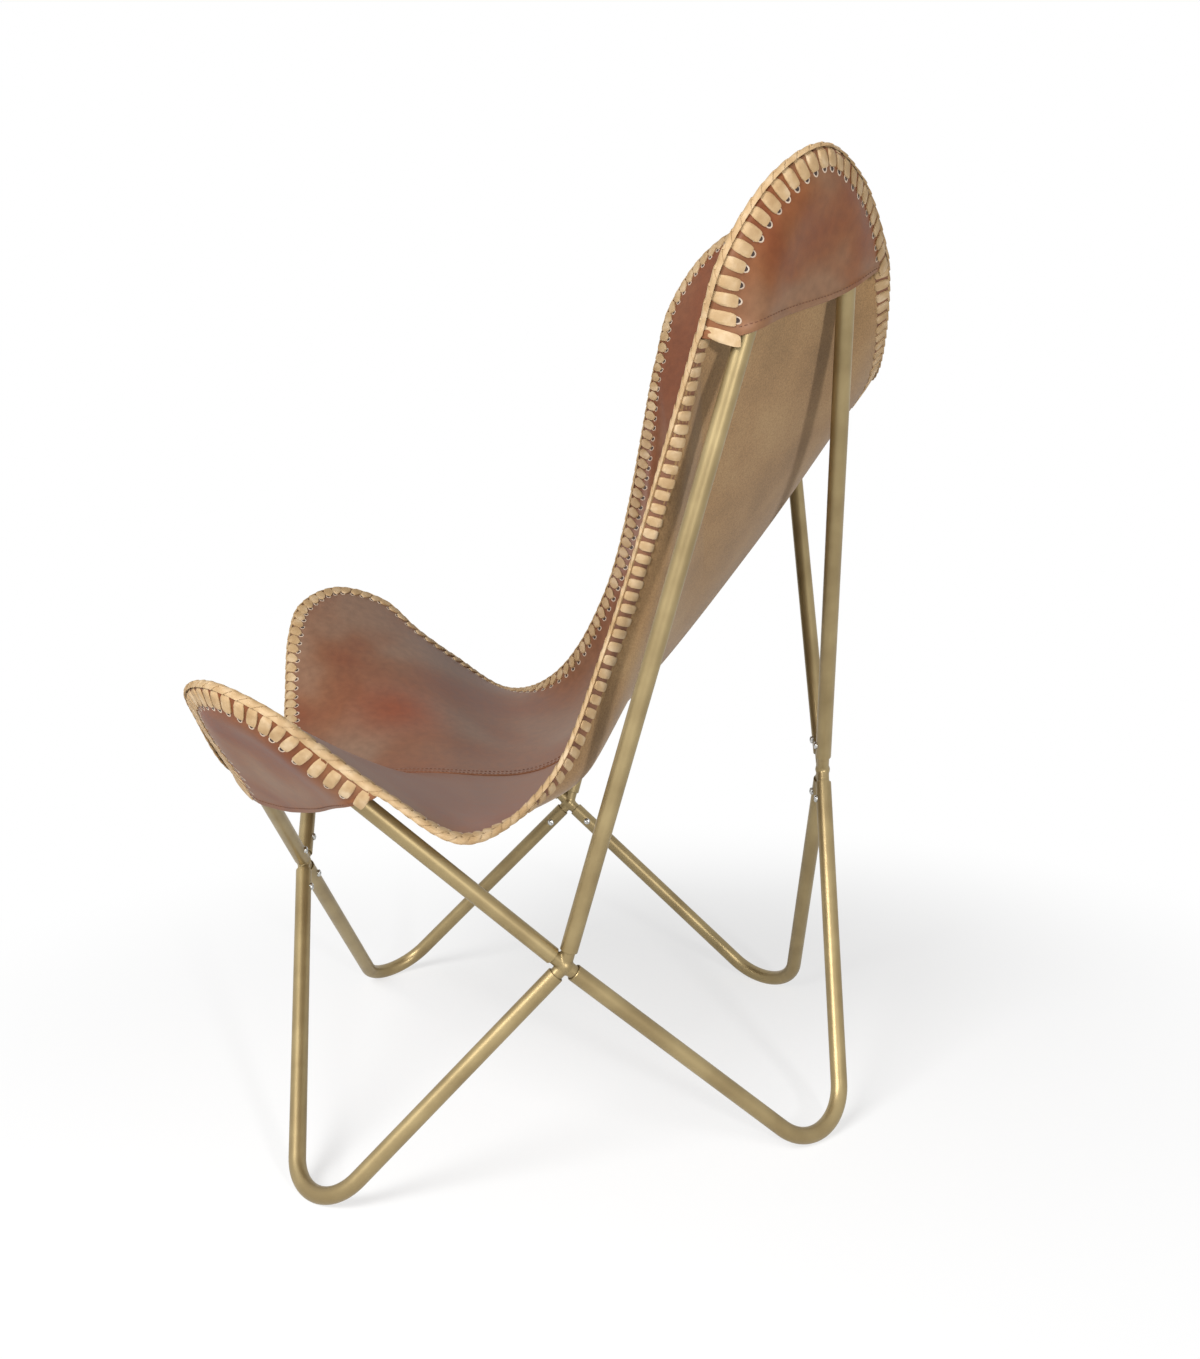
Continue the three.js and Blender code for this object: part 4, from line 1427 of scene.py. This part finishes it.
    def _surface(self) -> Points:
        """Draws the leather over the loop.

        Returns:
            The middle of the leather: rows from rim to rim, from the mouth to the tip.
        """
        behind = -self.loop.front(self.half.seat)
        reach = self.half.frame.tube / 2 + self.seat_gap + self.leather / 2
        drop = self.half.leather / 2 + self.gap + self.leather / 2
        shares = 0.5 - 0.5 * np.cos(np.linspace(0, math.pi, self.columns))
        mouth = np.interp(shares, MOUTH_SHARES, [0, *self.mouth_slide, 0])
        mouth = np.convolve(mouth, np.ones(self.mouth_evening) / self.mouth_evening, mode="same")
        ends = self.span()
        lines, needs, levels = [], [], []
        for row in np.concatenate([HEM_ROWS, BODY_ROWS]):
            counts = np.array([end + (self.tip.value - end) * row for end in ends])
            places, _, outs, ups = self.half.edge.at(counts)
            rims = places - outs * self.rim_inset - ups * drop
            chord = rims[0] + (rims[1] - rims[0]) * shares[:, None]
            slide = mouth * (1 - row) ** 2
            chord = chord + slide[:, None] * self.loop.tip
            heights = (chord - self.loop.center) @ behind
            offset = chord - self.loop.nearest(chord)
            aside = np.linalg.norm(across(offset, behind), axis=-1)
            needed = np.where(aside < reach, np.sqrt(np.maximum(reach**2 - aside**2, 0)), NO_TUBE)
            needs.append(needed)
            levels.append(self._taut(shares, heights, needed))
            lines.append(chord - heights[:, None] * behind)
        level = self._eased(np.array(levels), np.array(needs))
        return np.array(lines) + level[..., None] * behind

    def build(self, wardrobe: Wardrobe) -> None:
        """Makes the pocket with its folded hem and the hem's stitches.

        Args:
            wardrobe: The finishes.
        """
        grid = self._surface()
        behind = -self.loop.front(self.half.seat)
        normals = grid_normals(grid)
        normals *= np.sign(np.sum(normals * behind, axis=-1, keepdims=True))
        depth = np.linalg.norm(grid - grid[:1], axis=-1)
        fold = self.hem * np.clip((self.hem_width + 1 - depth) / self.hem_slope, 0, 1)
        outer = grid + normals * (self.leather / 2 + fold[..., None])
        inner = grid - normals * self.leather / 2
        ahead = unit(outer[0] - outer[len(HEM_ROWS) - 1])
        drawn_out = np.concatenate([[outer[0] + ahead * reach for reach in self.drawn_out], outer])
        self.half.pocket_skins.append(outer)
        self.half.drawn_out_skins.append(drawn_out)
        self.half.pocket_spans.append(self.span())
        draft = Draft()
        turned = self.half.turned
        draft.grid(turned(outer), Finish.FACE)
        draft.grid(turned(inner), Finish.BACK)
        roll = (outer[0] + inner[0]) / 2 - self.loop.tip * self.fold_roll
        draft.grid(turned(np.stack([outer[0], roll, inner[0]], axis=1)), Finish.FACE)
        for column in (0, -1):
            draft.grid(turned(np.stack([outer[:, column], inner[:, column]], axis=1)), Finish.CUT)
        hem_row = int(np.argmin(np.abs(depth[:, self.columns // 2] - self.hem_width)))
        sewn = slice(self.stitch_margin, -self.stitch_margin)
        stitch_run(draft, turned(outer[hem_row, sewn]), turned(normals[hem_row, sewn]))
        node = f"{self.name}_{self.half.side.word}"
        piece = draft.build(f"{node}_leather", wardrobe.pocket(), sharp_degrees=50)
        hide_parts(node)


# Shares of a stitch's length, lifts in thicknesses of the thread and shares of its thickness
STITCH_STEPS = ((-0.5, -0.5, 0.5), (-0.38, 0.1, 1), (0, 0.3, 1), (0.38, 0.1, 1), (0.5, -0.5, 0.5))


def stitch_run(draft: Draft, line: Points, normals: Points, pitch: float = 4.4, length: float = 3.1,
               thread: float = 0.75) -> None:
    """Adds a row of stitches along a line on leather.

    Args:
        draft: The piece that the stitches are on.
        line: Points on the leather's face.
        normals: The face's normals there.
        pitch: From stitch to stitch.
        length: Of one stitch.
        thread: Its thickness.
    """
    numbers = even_along(line, pitch)
    places, ups = pick(line, numbers), unit(pick(normals, numbers))
    tangents = unit(np.gradient(places, axis=0))
    for place, up, tangent in zip(places, ups, tangents):
        spokes = circle(6, up, np.cross(up, tangent))
        rings = []
        for share, lift, size in STITCH_STEPS:
            middle = place + tangent * share * length + up * lift * thread
            rings.append(middle + spokes * size * thread / 2)
        draft.closed_sweep(np.array(rings), Finish.THREAD)


class Skin:
    """Leather that lace or a seam lies on: grids of one half, and the same turned over in X."""

    def __init__(self, grids: list[Points]) -> None:
        """Takes in the leather.

        Args:
            grids: Its surfaces on one half.
        """
        draft = Draft()
        for grid in grids:
            draft.grid(grid)
            draft.grid(grid * MIRROR)
        self.tree = BVHTree.FromPolygons(np.concatenate(draft.points).tolist(), draft.faces)

    def under(self, place: Points, outward: Points, reach: float = 45) -> Points:
        """The outermost leather on the line through a place, or the place where there is none."""
        found = self.tree.ray_cast(Vector(place + outward * reach), Vector(-outward), 2 * reach)[0]
        return place if found is None else np.array(found)


# Steps of the tongues: shares of the reach and of the width, lifts, and for the face shares of the slant
BACK_STEPS = np.array([0.04, 0.12, 0.28, 0.5, 0.72, 0.86, 0.95, 1.0])
BACK_WIDTHS = np.array([0.7, 0.88, 1.0, 1.0, 0.98, 0.9, 0.75, 0.5])
BACK_LIFTS = (0.0, 0.15, 0.2, 0.25, 0.2, 0.05, -0.3, -1.6)
FACE_STEPS = np.array([0.1, 0.24, 0.46, 0.7, 0.86, 0.95, 1.0])
FACE_WIDTHS = np.array([0.85, 1.1, 1.12, 0.98, 0.8, 0.62, 0.42])
FACE_LIFTS = (0.0, 0.15, 0.2, 0.1, -0.1, -0.4, -1.6)
FACE_DRIFTS = np.array([0.3, 0.46, 0.62, 0.8, 0.9, 0.96, 1.0])
TONGUE_SECTION = ((-1, 0.3), (-0.94, 0.88), (-0.5, 1.0), (0, 1.03), (0.5, 1.0), (0.94, 0.88), (1, 0.3),
                  (0.95, -0.2), (0, -0.2), (-0.95, -0.2))  # shares of the width, heights in thicknesses
HOLE_PROFILE = ((-0.5, 1.5), (0.15, 1.4), (0.35, 1.18), (0.25, 1.0), (0.12, 0.92))  # lifts, shares of hole
JITTER = (0.4, 0.35, 0.25)  # spread of a tongue's reach, place and width


@dataclass
class Lacing:
    """Flat lace whipped over the sling's edge, one wrap for each pair of punched holes.

    A wrap shows as a tongue square to the edge at the back, a slanting tongue on the face, and between them
    a stretch along the edge itself that laps over the next one.
    """

    halves: list[SlingHalf]
    width: float = 10.4
    thickness: float = 1.7
    face_reach: float = 12
    back_reach: float = 13.5
    face_hole_gap: float = 1.0
    back_hole_gap: float = 0.4
    pocket_layers: float = 2.2
    pocket_ramp: float = 0.06  # of the step at a pocket's end, as numbers along the control points
    lap_shares: tuple[float, float] = (-0.25, 1.2)  # of the way to the next wrap, at both ends of a lap
    lap_degrees: tuple[float, float] = (52, 150)  # round the edge, from the face to the back
    lap_skew: float = 0.5
    lap_rise: float = 1.0
    lap_depth: float = 4.2
    lap_inset: float = 3.2
    lap_lift: float = 0.2
    lap_jitter: float = 0.12
    lap_skins: tuple[float, float] = (0.5, -0.6)  # outer and inner, from the middle of the lace
    lap_steps: int = 9
    hole: float = 2.2
    hole_sides: int = 14
    seed: int = 7

    def _tongue(self, draft: Draft, half: SlingHalf, skin: Skin, spot: Spot, facing: int,
                path: list[tuple[float, float, float, float]]) -> None:
        """Adds a flat, tapering length of lace that follows the leather under it.

        Args:
            draft: The run of lace that it is part of.
            half: The half of the sling.
            skin: The leather.
            spot: The edge's place, tangent, out and up.
            facing: 1 on the sling's face, -1 on its back.
            path: Along the edge, inward, lift and width, for each step.
        """
        place, tangent, out, up = spot
        outward = up * facing
        line = np.array([place + tangent * along - out * inward for along, inward, *_ in path])
        flat = unit(np.cross(outward, unit(np.gradient(line, axis=0))))
        rings = []
        for middle, beside, (*_, lift, width) in zip(line, flat, path):
            ring = []
            for share, height in TONGUE_SECTION:
                seat = skin.under(middle + beside * share * width / 2, outward)
                ring.append(seat + outward * (height * self.thickness + lift))
            rings.append(ring)
        draft.closed_sweep(half.turned(np.array(rings)))

    def _back_tongue(self, draft: Draft, half: SlingHalf, skin: Skin, spot: Spot, jitter: Points) -> None:
        """Adds the tongue of a wrap that lies on the back of the sling or on a pocket.

        Args:
            draft: The run of lace.
            half: The half of the sling.
            skin: The leather.
            spot: The edge's place, tangent, out and up.
            jitter: Changes of the reach, the place and the width.
        """
        reaches = BACK_STEPS * (self.back_reach + jitter[0])
        widths = BACK_WIDTHS * (self.width + jitter[2])
        path = [(jitter[1], *step) for step in zip(reaches, BACK_LIFTS, widths)]
        self._tongue(draft, half, skin, spot, -1, path)

    def _face_tongue(self, draft: Draft, half: SlingHalf, skin: Skin, spot: Spot, slant: float,
                     jitter: Points) -> None:
        """Adds the slanting tongue of a wrap on the face.

        Args:
            draft: The run of lace.
            half: The half of the sling.
            skin: The leather.
            spot: The edge's place, tangent, out and up.
            slant: How far along the edge the tongue's end lies from its start.
            jitter: Changes of the reach, the place and the width.
        """
        drifts = FACE_DRIFTS * slant + jitter[1]
        widths = FACE_WIDTHS * (self.width + jitter[2])
        path = list(zip(drifts, FACE_STEPS * self.face_reach, FACE_LIFTS, widths))
        self._tongue(draft, half, skin, spot, 1, path)

    def _lap(self, draft: Draft, half: SlingHalf, distance: float, step: float, jitter: Points) -> None:
        """Adds the stretch of lace along the edge from one wrap to the next, whose start it covers.

        Args:
            draft: The run of lace.
            half: The half of the sling.
            distance: The wrap's distance along the edge.
            step: The distance to the next wrap.
            jitter: Changes of the wrap's reach, place and width.
        """
        edge = half.edge
        top = half.leather / 2
        shares = np.linspace(*self.lap_shares, self.lap_steps)
        angles = np.radians(np.linspace(*self.lap_degrees, self.lap_steps))
        skew = self.lap_skew * np.cos(angles)
        runs = distance + half.side.value * step * (shares[:, None] - skew[None, :])
        counts = np.interp(np.clip(runs, 0, edge.lengths[-1]).ravel(), edge.lengths, edge.counts)
        places, _, outs, ups = edge.at(counts)
        below = -top - self.pocket_layers * np.array([self._cover(half, count) for count in counts])
        climb = np.repeat(np.clip(shares, 0, 1), len(angles))
        rise = self.lap_lift + self.lap_rise * climb + self.lap_jitter * jitter[0]
        turn = np.tile(angles, len(shares))
        skins = []
        for offset in self.lap_skins:
            tall = (top - below) / 2 + self.thickness * 0.6 + rise + offset
            deep = self.lap_depth + rise + offset
            side = outs * (deep * np.sin(turn) - self.lap_inset)[:, None]
            skins.append(places + side + ups * ((top + below) / 2 - tall * np.cos(turn))[:, None])
        outer, inner = [half.turned(skin).reshape(len(shares), len(angles), 3) for skin in skins]
        draft.closed_sweep(np.concatenate([outer, inner[:, ::-1]], axis=1))

    def _hole(self, draft: Draft, half: SlingHalf, skin: Skin, spot: Spot, facing: int, along: float,
              inward: float) -> None:
        """Adds a punched hole: a burnished ring round a flat disc painted dark for the shade in the hole,
        just proud of the leather.

        Args:
            draft: The run of lace that goes through it.
            half: The half of the sling.
            skin: The leather.
            spot: The edge's place, tangent, out and up.
            facing: 1 on the sling's face, -1 on its back.
            along: The hole's distance along the edge from the spot.
            inward: Its distance in from the edge.
        """
        place, tangent, out, up = spot
        outward = up * facing
        middle = place + tangent * along - out * inward
        spokes = circle(self.hole_sides, tangent, out)
        rings = []
        for lift, size in HOLE_PROFILE:
            around = middle + spokes * size * self.hole
            rings.append([skin.under(seat, outward) + outward * lift for seat in around])
        rings = half.turned(np.array(rings))
        draft.grid(rings, Finish.BACK, ring=True)
        # painted shade: the flat dark disc that stands for the hole's depth
        draft.polygon(rings[-1], Finish.HOLE)
        draft.polygon(rings[0], Finish.BACK)

    def build(self, wardrobe: Wardrobe) -> None:
        """Makes the four runs of lace.

        Args:
            wardrobe: The finishes.
        """
        runs = {name: Draft() for name in ("front_lace", "top_lace", "side_lace_left", "side_lace_right")}
        chance = np.random.default_rng(self.seed)
        for half in self.halves:
            self._lace_half(half, runs, chance)
        for name, draft in runs.items():
            piece = draft.build(f"{name}_wraps", wardrobe.laces(), sharp_degrees=60)
            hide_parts(name)
            log.info("lace %s", name)

    def _lace_half(self, half: SlingHalf, runs: dict[str, Draft], chance: np.random.Generator) -> None:
        """Laces one half of the sling from the middle of the front to the middle of the top.

        Args:
            half: The half.
            runs: The four runs of lace, by name.
            chance: Where the small changes from wrap to wrap come from.
        """
        edge = half.edge
        face_skin, back_skin = Skin(half.face_skins), Skin(half.back_skins)
        seen_skin = Skin(half.back_skins + half.pocket_skins)
        pocket_skin = Skin(half.back_skins + half.drawn_out_skins)
        back_hole = self.back_reach + self.back_hole_gap
        face_hole = self.face_reach + self.face_hole_gap
        for distance, step in self._wraps(half):
            slant = step * half.side.value
            lace = replace(self, width=self.width * step / LACE_PITCH)
            count = float(np.interp(distance, edge.lengths, edge.counts))
            spot = tuple(value[0] for value in edge.at(np.array([count])))
            jitter = chance.normal(0, JITTER)
            draft = runs[self._run_name(half, count)]
            on_pocket = any(first < count < last for first, last in half.pocket_spans)
            lace._back_tongue(draft, half, pocket_skin if on_pocket else back_skin, spot, jitter)
            lace._face_tongue(draft, half, face_skin, spot, slant, jitter)
            lace._lap(draft, half, distance, step, jitter)
            if on_pocket and self._same_leather(seen_skin, pocket_skin, spot, back_hole):
                self._hole(draft, half, seen_skin, spot, -1, jitter[1], back_hole)
            self._hole(draft, half, face_skin, spot, 1, slant + jitter[1], face_hole)

    def _run_name(self, half: SlingHalf, count: float) -> str:
        """The run of lace that a place on a half's edge belongs to."""
        if count < EdgePoint.FRONT_TIP.value:
            return "front_lace"
        return "top_lace" if count > EdgePoint.BACK_TIP.value else f"side_lace_{half.side.word}"

    def _wraps(self, half: SlingHalf) -> list[tuple[float, float]]:
        """Spaces the wraps, which are closer together between the pockets.

        Args:
            half: The half of the sling.

        Returns:
            Each wrap's distance along the edge, and the pitch there.
        """
        edge = half.edge
        step = edge.wrap_step()
        (_, front_end), (back_start, _) = sorted(half.pocket_spans)
        ends = np.interp((front_end, back_start), edge.counts, edge.lengths)
        before, after = (round(end / step) for end in ends)
        between = (after - before) * step
        number = round(between / SIDE_PITCH)
        side_step = between / number
        wraps = [((wrap + 0.5) * step, step) for wrap in range(before)]
        wraps += [(before * step + (wrap + 0.5) * side_step, side_step) for wrap in range(number)]
        wraps += [((wrap + 0.5) * step, step) for wrap in range(after, round(edge.lengths[-1] / step))]
        return wraps

    def _same_leather(self, seen: Skin, under: Skin, spot: Spot, inward: float) -> bool:
        """Whether the leather that shows round a hole is the leather that its tongue lies on.

        Args:
            seen: The leather that shows.
            under: The leather that tongues lie on.
            spot: The edge's place, tangent, out and up.
            inward: The hole's distance in from the edge.

        Returns:
            True where both are less than the lace's thickness apart.
        """
        place, tangent, out, up = spot
        middle = place - out * inward
        widest = max(size for _, size in HOLE_PROFILE) + 0.1
        for along in (-widest, 0, widest):
            rim = middle + tangent * along * self.hole
            if np.linalg.norm(seen.under(rim, -up) - under.under(rim, -up)) > self.thickness:
                return False
        return True

    def _cover(self, half: SlingHalf, count: float) -> float:
        """1 where a pocket lies under the edge, 0 where none does."""
        inside = max(min(count - first, last - count) for first, last in half.pocket_spans)
        return float(np.clip(inside / self.pocket_ramp + 0.5, 0, 1))


# Shares of the lap's width, and heights in shares of its rise
LAP_PROFILE = ((-0.5, -0.9), (-0.5, 0.6), (-0.45, 1), (-0.2, 1), (0.02, 1), (0.2, 1), (0.45, 1), (0.5, 0.6),
               (0.5, -0.9))


@dataclass
class CentreSeam:
    """The lapped seam between the halves: a strip of the left half that lies over the right, sewn twice."""

    half: SlingHalf
    width: float = 17
    rise: float = 1.4
    row_inset: float = 3.2
    steps: int = 30  # between two knots of the centre line
    clear_ends: int = 4  # steps at both ends that the lace covers

    def __post_init__(self) -> None:
        """Takes the leather under the seam, and its line clear of the lace at both ends."""
        self.skin = Skin(self.half.face_skins)
        self.line = self.half.centre_line(self.steps)[self.clear_ends : -self.clear_ends]
        self.ups = unit(np.cross(X_AXIS, unit(np.gradient(self.line, axis=0))))

    def _on_face(self, offset: float, lift: float) -> Points:
        """A line along the seam.

        Args:
            offset: Its distance to the left of the centre line.
            lift: Its height over the sling's face.

        Returns:
            The line's points.
        """
        aside = np.array([abs(offset), 0, 0])
        found = np.array([self.skin.under(place + aside, up) for place, up in zip(self.line, self.ups)])
        found[:, 0] = offset
        return found + self.ups * lift

    def build(self, wardrobe: Wardrobe) -> bpy.types.Object:
        """Makes the lap and its two rows of stitches.

        Args:
            wardrobe: The finishes.

        Returns:
            The lap.
        """
        columns = [self._on_face(share * self.width, height * self.rise) for share, height in LAP_PROFILE]
        draft = Draft()
        draft.closed_sweep(np.stack(columns, axis=1))
        for row in (-1, 1):
            stitch_run(draft, self._on_face(row * (self.width / 2 - self.row_inset), self.rise), self.ups)
        piece = draft.build("centre_seam_lap", wardrobe.sling(), sharp_degrees=50)
        log.info("centre seam")
        return piece


# Studio


@dataclass(frozen=True)
class Lamp:
    """A square lamp: its place and its width in metres, and its power in watts."""

    name: str
    place: Triple
    size: float
    watts: float


@dataclass
class Studio:
    """Floor, light and camera."""

    camera_place: Triple = (1621.3, 29.85, 697.2)
    right: Triple = (0.01204, 0.99922, -0.03768)
    up: Triple = (-0.17182, 0.03919, 0.98435)
    back: Triple = (0.98505, -0.00538, 0.17216)
    focal_pixels: float = 1599.77
    frame_height: float = 1359
    sensor: float = 36
    lamps: tuple[Lamp, ...] = (
        Lamp("key", (3.25, 1.15, 1.0), size=0.26, watts=66),
        Lamp("fill", (2.2, -1.6, 2.4), size=1.6, watts=138),
    )
    lamp_aim: Triple = (0, 0, 0.45)
    room_light: float = 0.1
    floor_half: float = 30000
    floor_colour: str = "#f8f8f8"
    floor_roughness: float = 0.9
    fade_from: float = 0.35  # metres from the middle of the floor
    fade_to: float = 1.0
    least_white: float = 0.7  # share of white under the chair

    def build_camera(self) -> None:
        """Sets up the camera at the photograph's angle."""
        data = bpy.data.cameras.new("view_camera")
        data.sensor_width = self.sensor
        data.lens = self.focal_pixels * self.sensor / self.frame_height
        camera = bpy.data.objects.new("view_camera", data)
        turn = Matrix((self.right, self.up, self.back)).transposed().to_4x4()
        place = Matrix.Translation([value * MM for value in self.camera_place])
        camera.matrix_world = place @ turn
        bpy.context.scene.collection.objects.link(camera)
        bpy.context.scene.camera = camera

    def build_light(self) -> None:
        """Sets a white room round the chair, a key light at the right and a fill at the left."""
        world = bpy.data.worlds.new("white_room")
        world.use_nodes = True
        tree = world.node_tree
        tree.nodes.clear()
        white = (1, 1, 1, 1)
        soft = add_node(tree, "ShaderNodeBackground", {"Color": white, "Strength": self.room_light})
        shown = add_node(tree, "ShaderNodeBackground", {"Color": white, "Strength": 1.0})
        mix_inputs = {0: self._seen(tree), 1: soft.outputs[0], 2: shown.outputs[0]}
        mixed = add_node(tree, "ShaderNodeMixShader", mix_inputs)
        add_node(tree, "ShaderNodeOutputWorld", {"Surface": mixed.outputs[0]})
        bpy.context.scene.world = world
        for lamp in self.lamps:
            self._hang(lamp)

    def _seen(self, tree: bpy.types.NodeTree) -> Socket:
        """Rays that show the surroundings: to the camera, in a gloss or through glass.

        Args:
            tree: The nodes of a material or of the world.

        Returns:
            1 for such a ray, 0 for any other.
        """
        rays = add_node(tree, "ShaderNodeLightPath").outputs
        shown = rays["Is Camera Ray"]
        for kind in ("Is Glossy Ray", "Is Transmission Ray"):
            either = add_node(tree, "ShaderNodeMath", {0: shown, 1: rays[kind]}, operation="MAXIMUM")
            shown = either.outputs[0]
        return shown

    def _hang(self, lamp: Lamp) -> None:
        """Adds a lamp that looks at the middle of the chair.

        Args:
            lamp: The lamp.
        """
        data = bpy.data.lights.new(lamp.name, "AREA")
        data.size = lamp.size
        data.energy = lamp.watts
        piece = bpy.data.objects.new(lamp.name, data)
        turn = (Vector(self.lamp_aim) - Vector(lamp.place)).to_track_quat("-Z", "Y")
        piece.matrix_world = Matrix.Translation(lamp.place) @ turn.to_matrix().to_4x4()
        bpy.context.scene.collection.objects.link(piece)

    def build_floor(self) -> None:
        """Lays a pale floor that runs out to white."""
        draft = Draft()
        corners = [(-1, -1, 0), (1, -1, 0), (1, 1, 0), (-1, 1, 0)]
        draft.polygon(self.floor_half * np.array(corners, float))
        mesh = draft.mesh("floor")
        mesh.materials.append(self._floor_material())
        floor = bpy.data.objects.new("floor", mesh)
        bpy.context.scene.collection.objects.link(floor)

    def _floor_material(self) -> bpy.types.Material:
        """Makes a dull pale floor that shows whiter the farther it is from the chair.

        Returns:
            The material.
        """
        look = Look("pale_floor")
        tree = look.tree
        far = add_node(tree, "ShaderNodeVectorMath", {0: look.place}, operation="LENGTH").outputs["Value"]
        fade_inputs = {"Value": far, "From Min": self.fade_from, "From Max": self.fade_to,
                       "To Min": self.least_white}
        fade = add_node(tree, "ShaderNodeMapRange", fade_inputs, interpolation_type="SMOOTHSTEP").outputs[0]
        shown = add_node(tree, "ShaderNodeMath", {0: fade, 1: self._seen(tree)}, operation="MULTIPLY")
        white = add_node(tree, "ShaderNodeEmission", {"Color": (1, 1, 1, 1), "Strength": 1.0})
        mix_inputs = {0: shown.outputs[0], 1: look.shader.outputs[0], 2: white.outputs[0]}
        mixed = add_node(tree, "ShaderNodeMixShader", mix_inputs)
        feed(tree, look.output, {"Surface": mixed.outputs[0]})
        return look.finished({"Base Color": linear(self.floor_colour), "Roughness": self.floor_roughness})

    def build(self) -> None:
        """Makes camera, light and floor."""
        self.build_camera()
        self.build_light()
        self.build_floor()
        bpy.context.scene.view_settings.view_transform = "Standard"


# Chair


WAIST_LEANS = {Side.LEFT: 2, Side.RIGHT: 14}  # of the edge's waist towards the back


def build_half(side: Side, tube_frame: TubeFrame, wardrobe: Wardrobe) -> SlingHalf:
    """Makes one half of the sling and its two pockets.

    Args:
        side: The half's side.
        tube_frame: The frame that it hangs on.
        wardrobe: The finishes.

    Returns:
        The half.
    """
    half = SlingHalf(side, tube_frame, waist_lean=WAIST_LEANS[side])
    half.build(wardrobe)
    log.info("sling half %s", side.word)
    front = Pocket(half, "front_pocket", half.front_loop, EdgePoint.FRONT_TIP, FRONT_POCKET,
                   mouth_slide=(-27, -35, -22, 0), cut=(0.29, 0.18), cut_area=0.031)
    back = Pocket(half, "back_pocket", half.back_loop, EdgePoint.BACK_TIP, BACK_POCKET,
                  mouth_slide=(9, 6, 0, 4), cut=(0.25, 0.12), cut_area=0.022)
    for pocket in (front, back):
        pocket.build(wardrobe)
        log.info("pocket %s %s", pocket.name, side.word)
    return half


def main() -> None:
    """Builds the chair and the studio."""
    logging.basicConfig(level=logging.INFO)
    wardrobe = Wardrobe()
    tube_frame = TubeFrame()
    Studio().build()
    tube_frame.build(wardrobe)
    halves = [build_half(side, tube_frame, wardrobe) for side in Side]
    seam = CentreSeam(halves[0]).build(wardrobe)
    halves[0].hang([seam])
    halves[1].hang([])
    Lacing(halves).build(wardrobe)


if __name__ == "__main__":
    main()
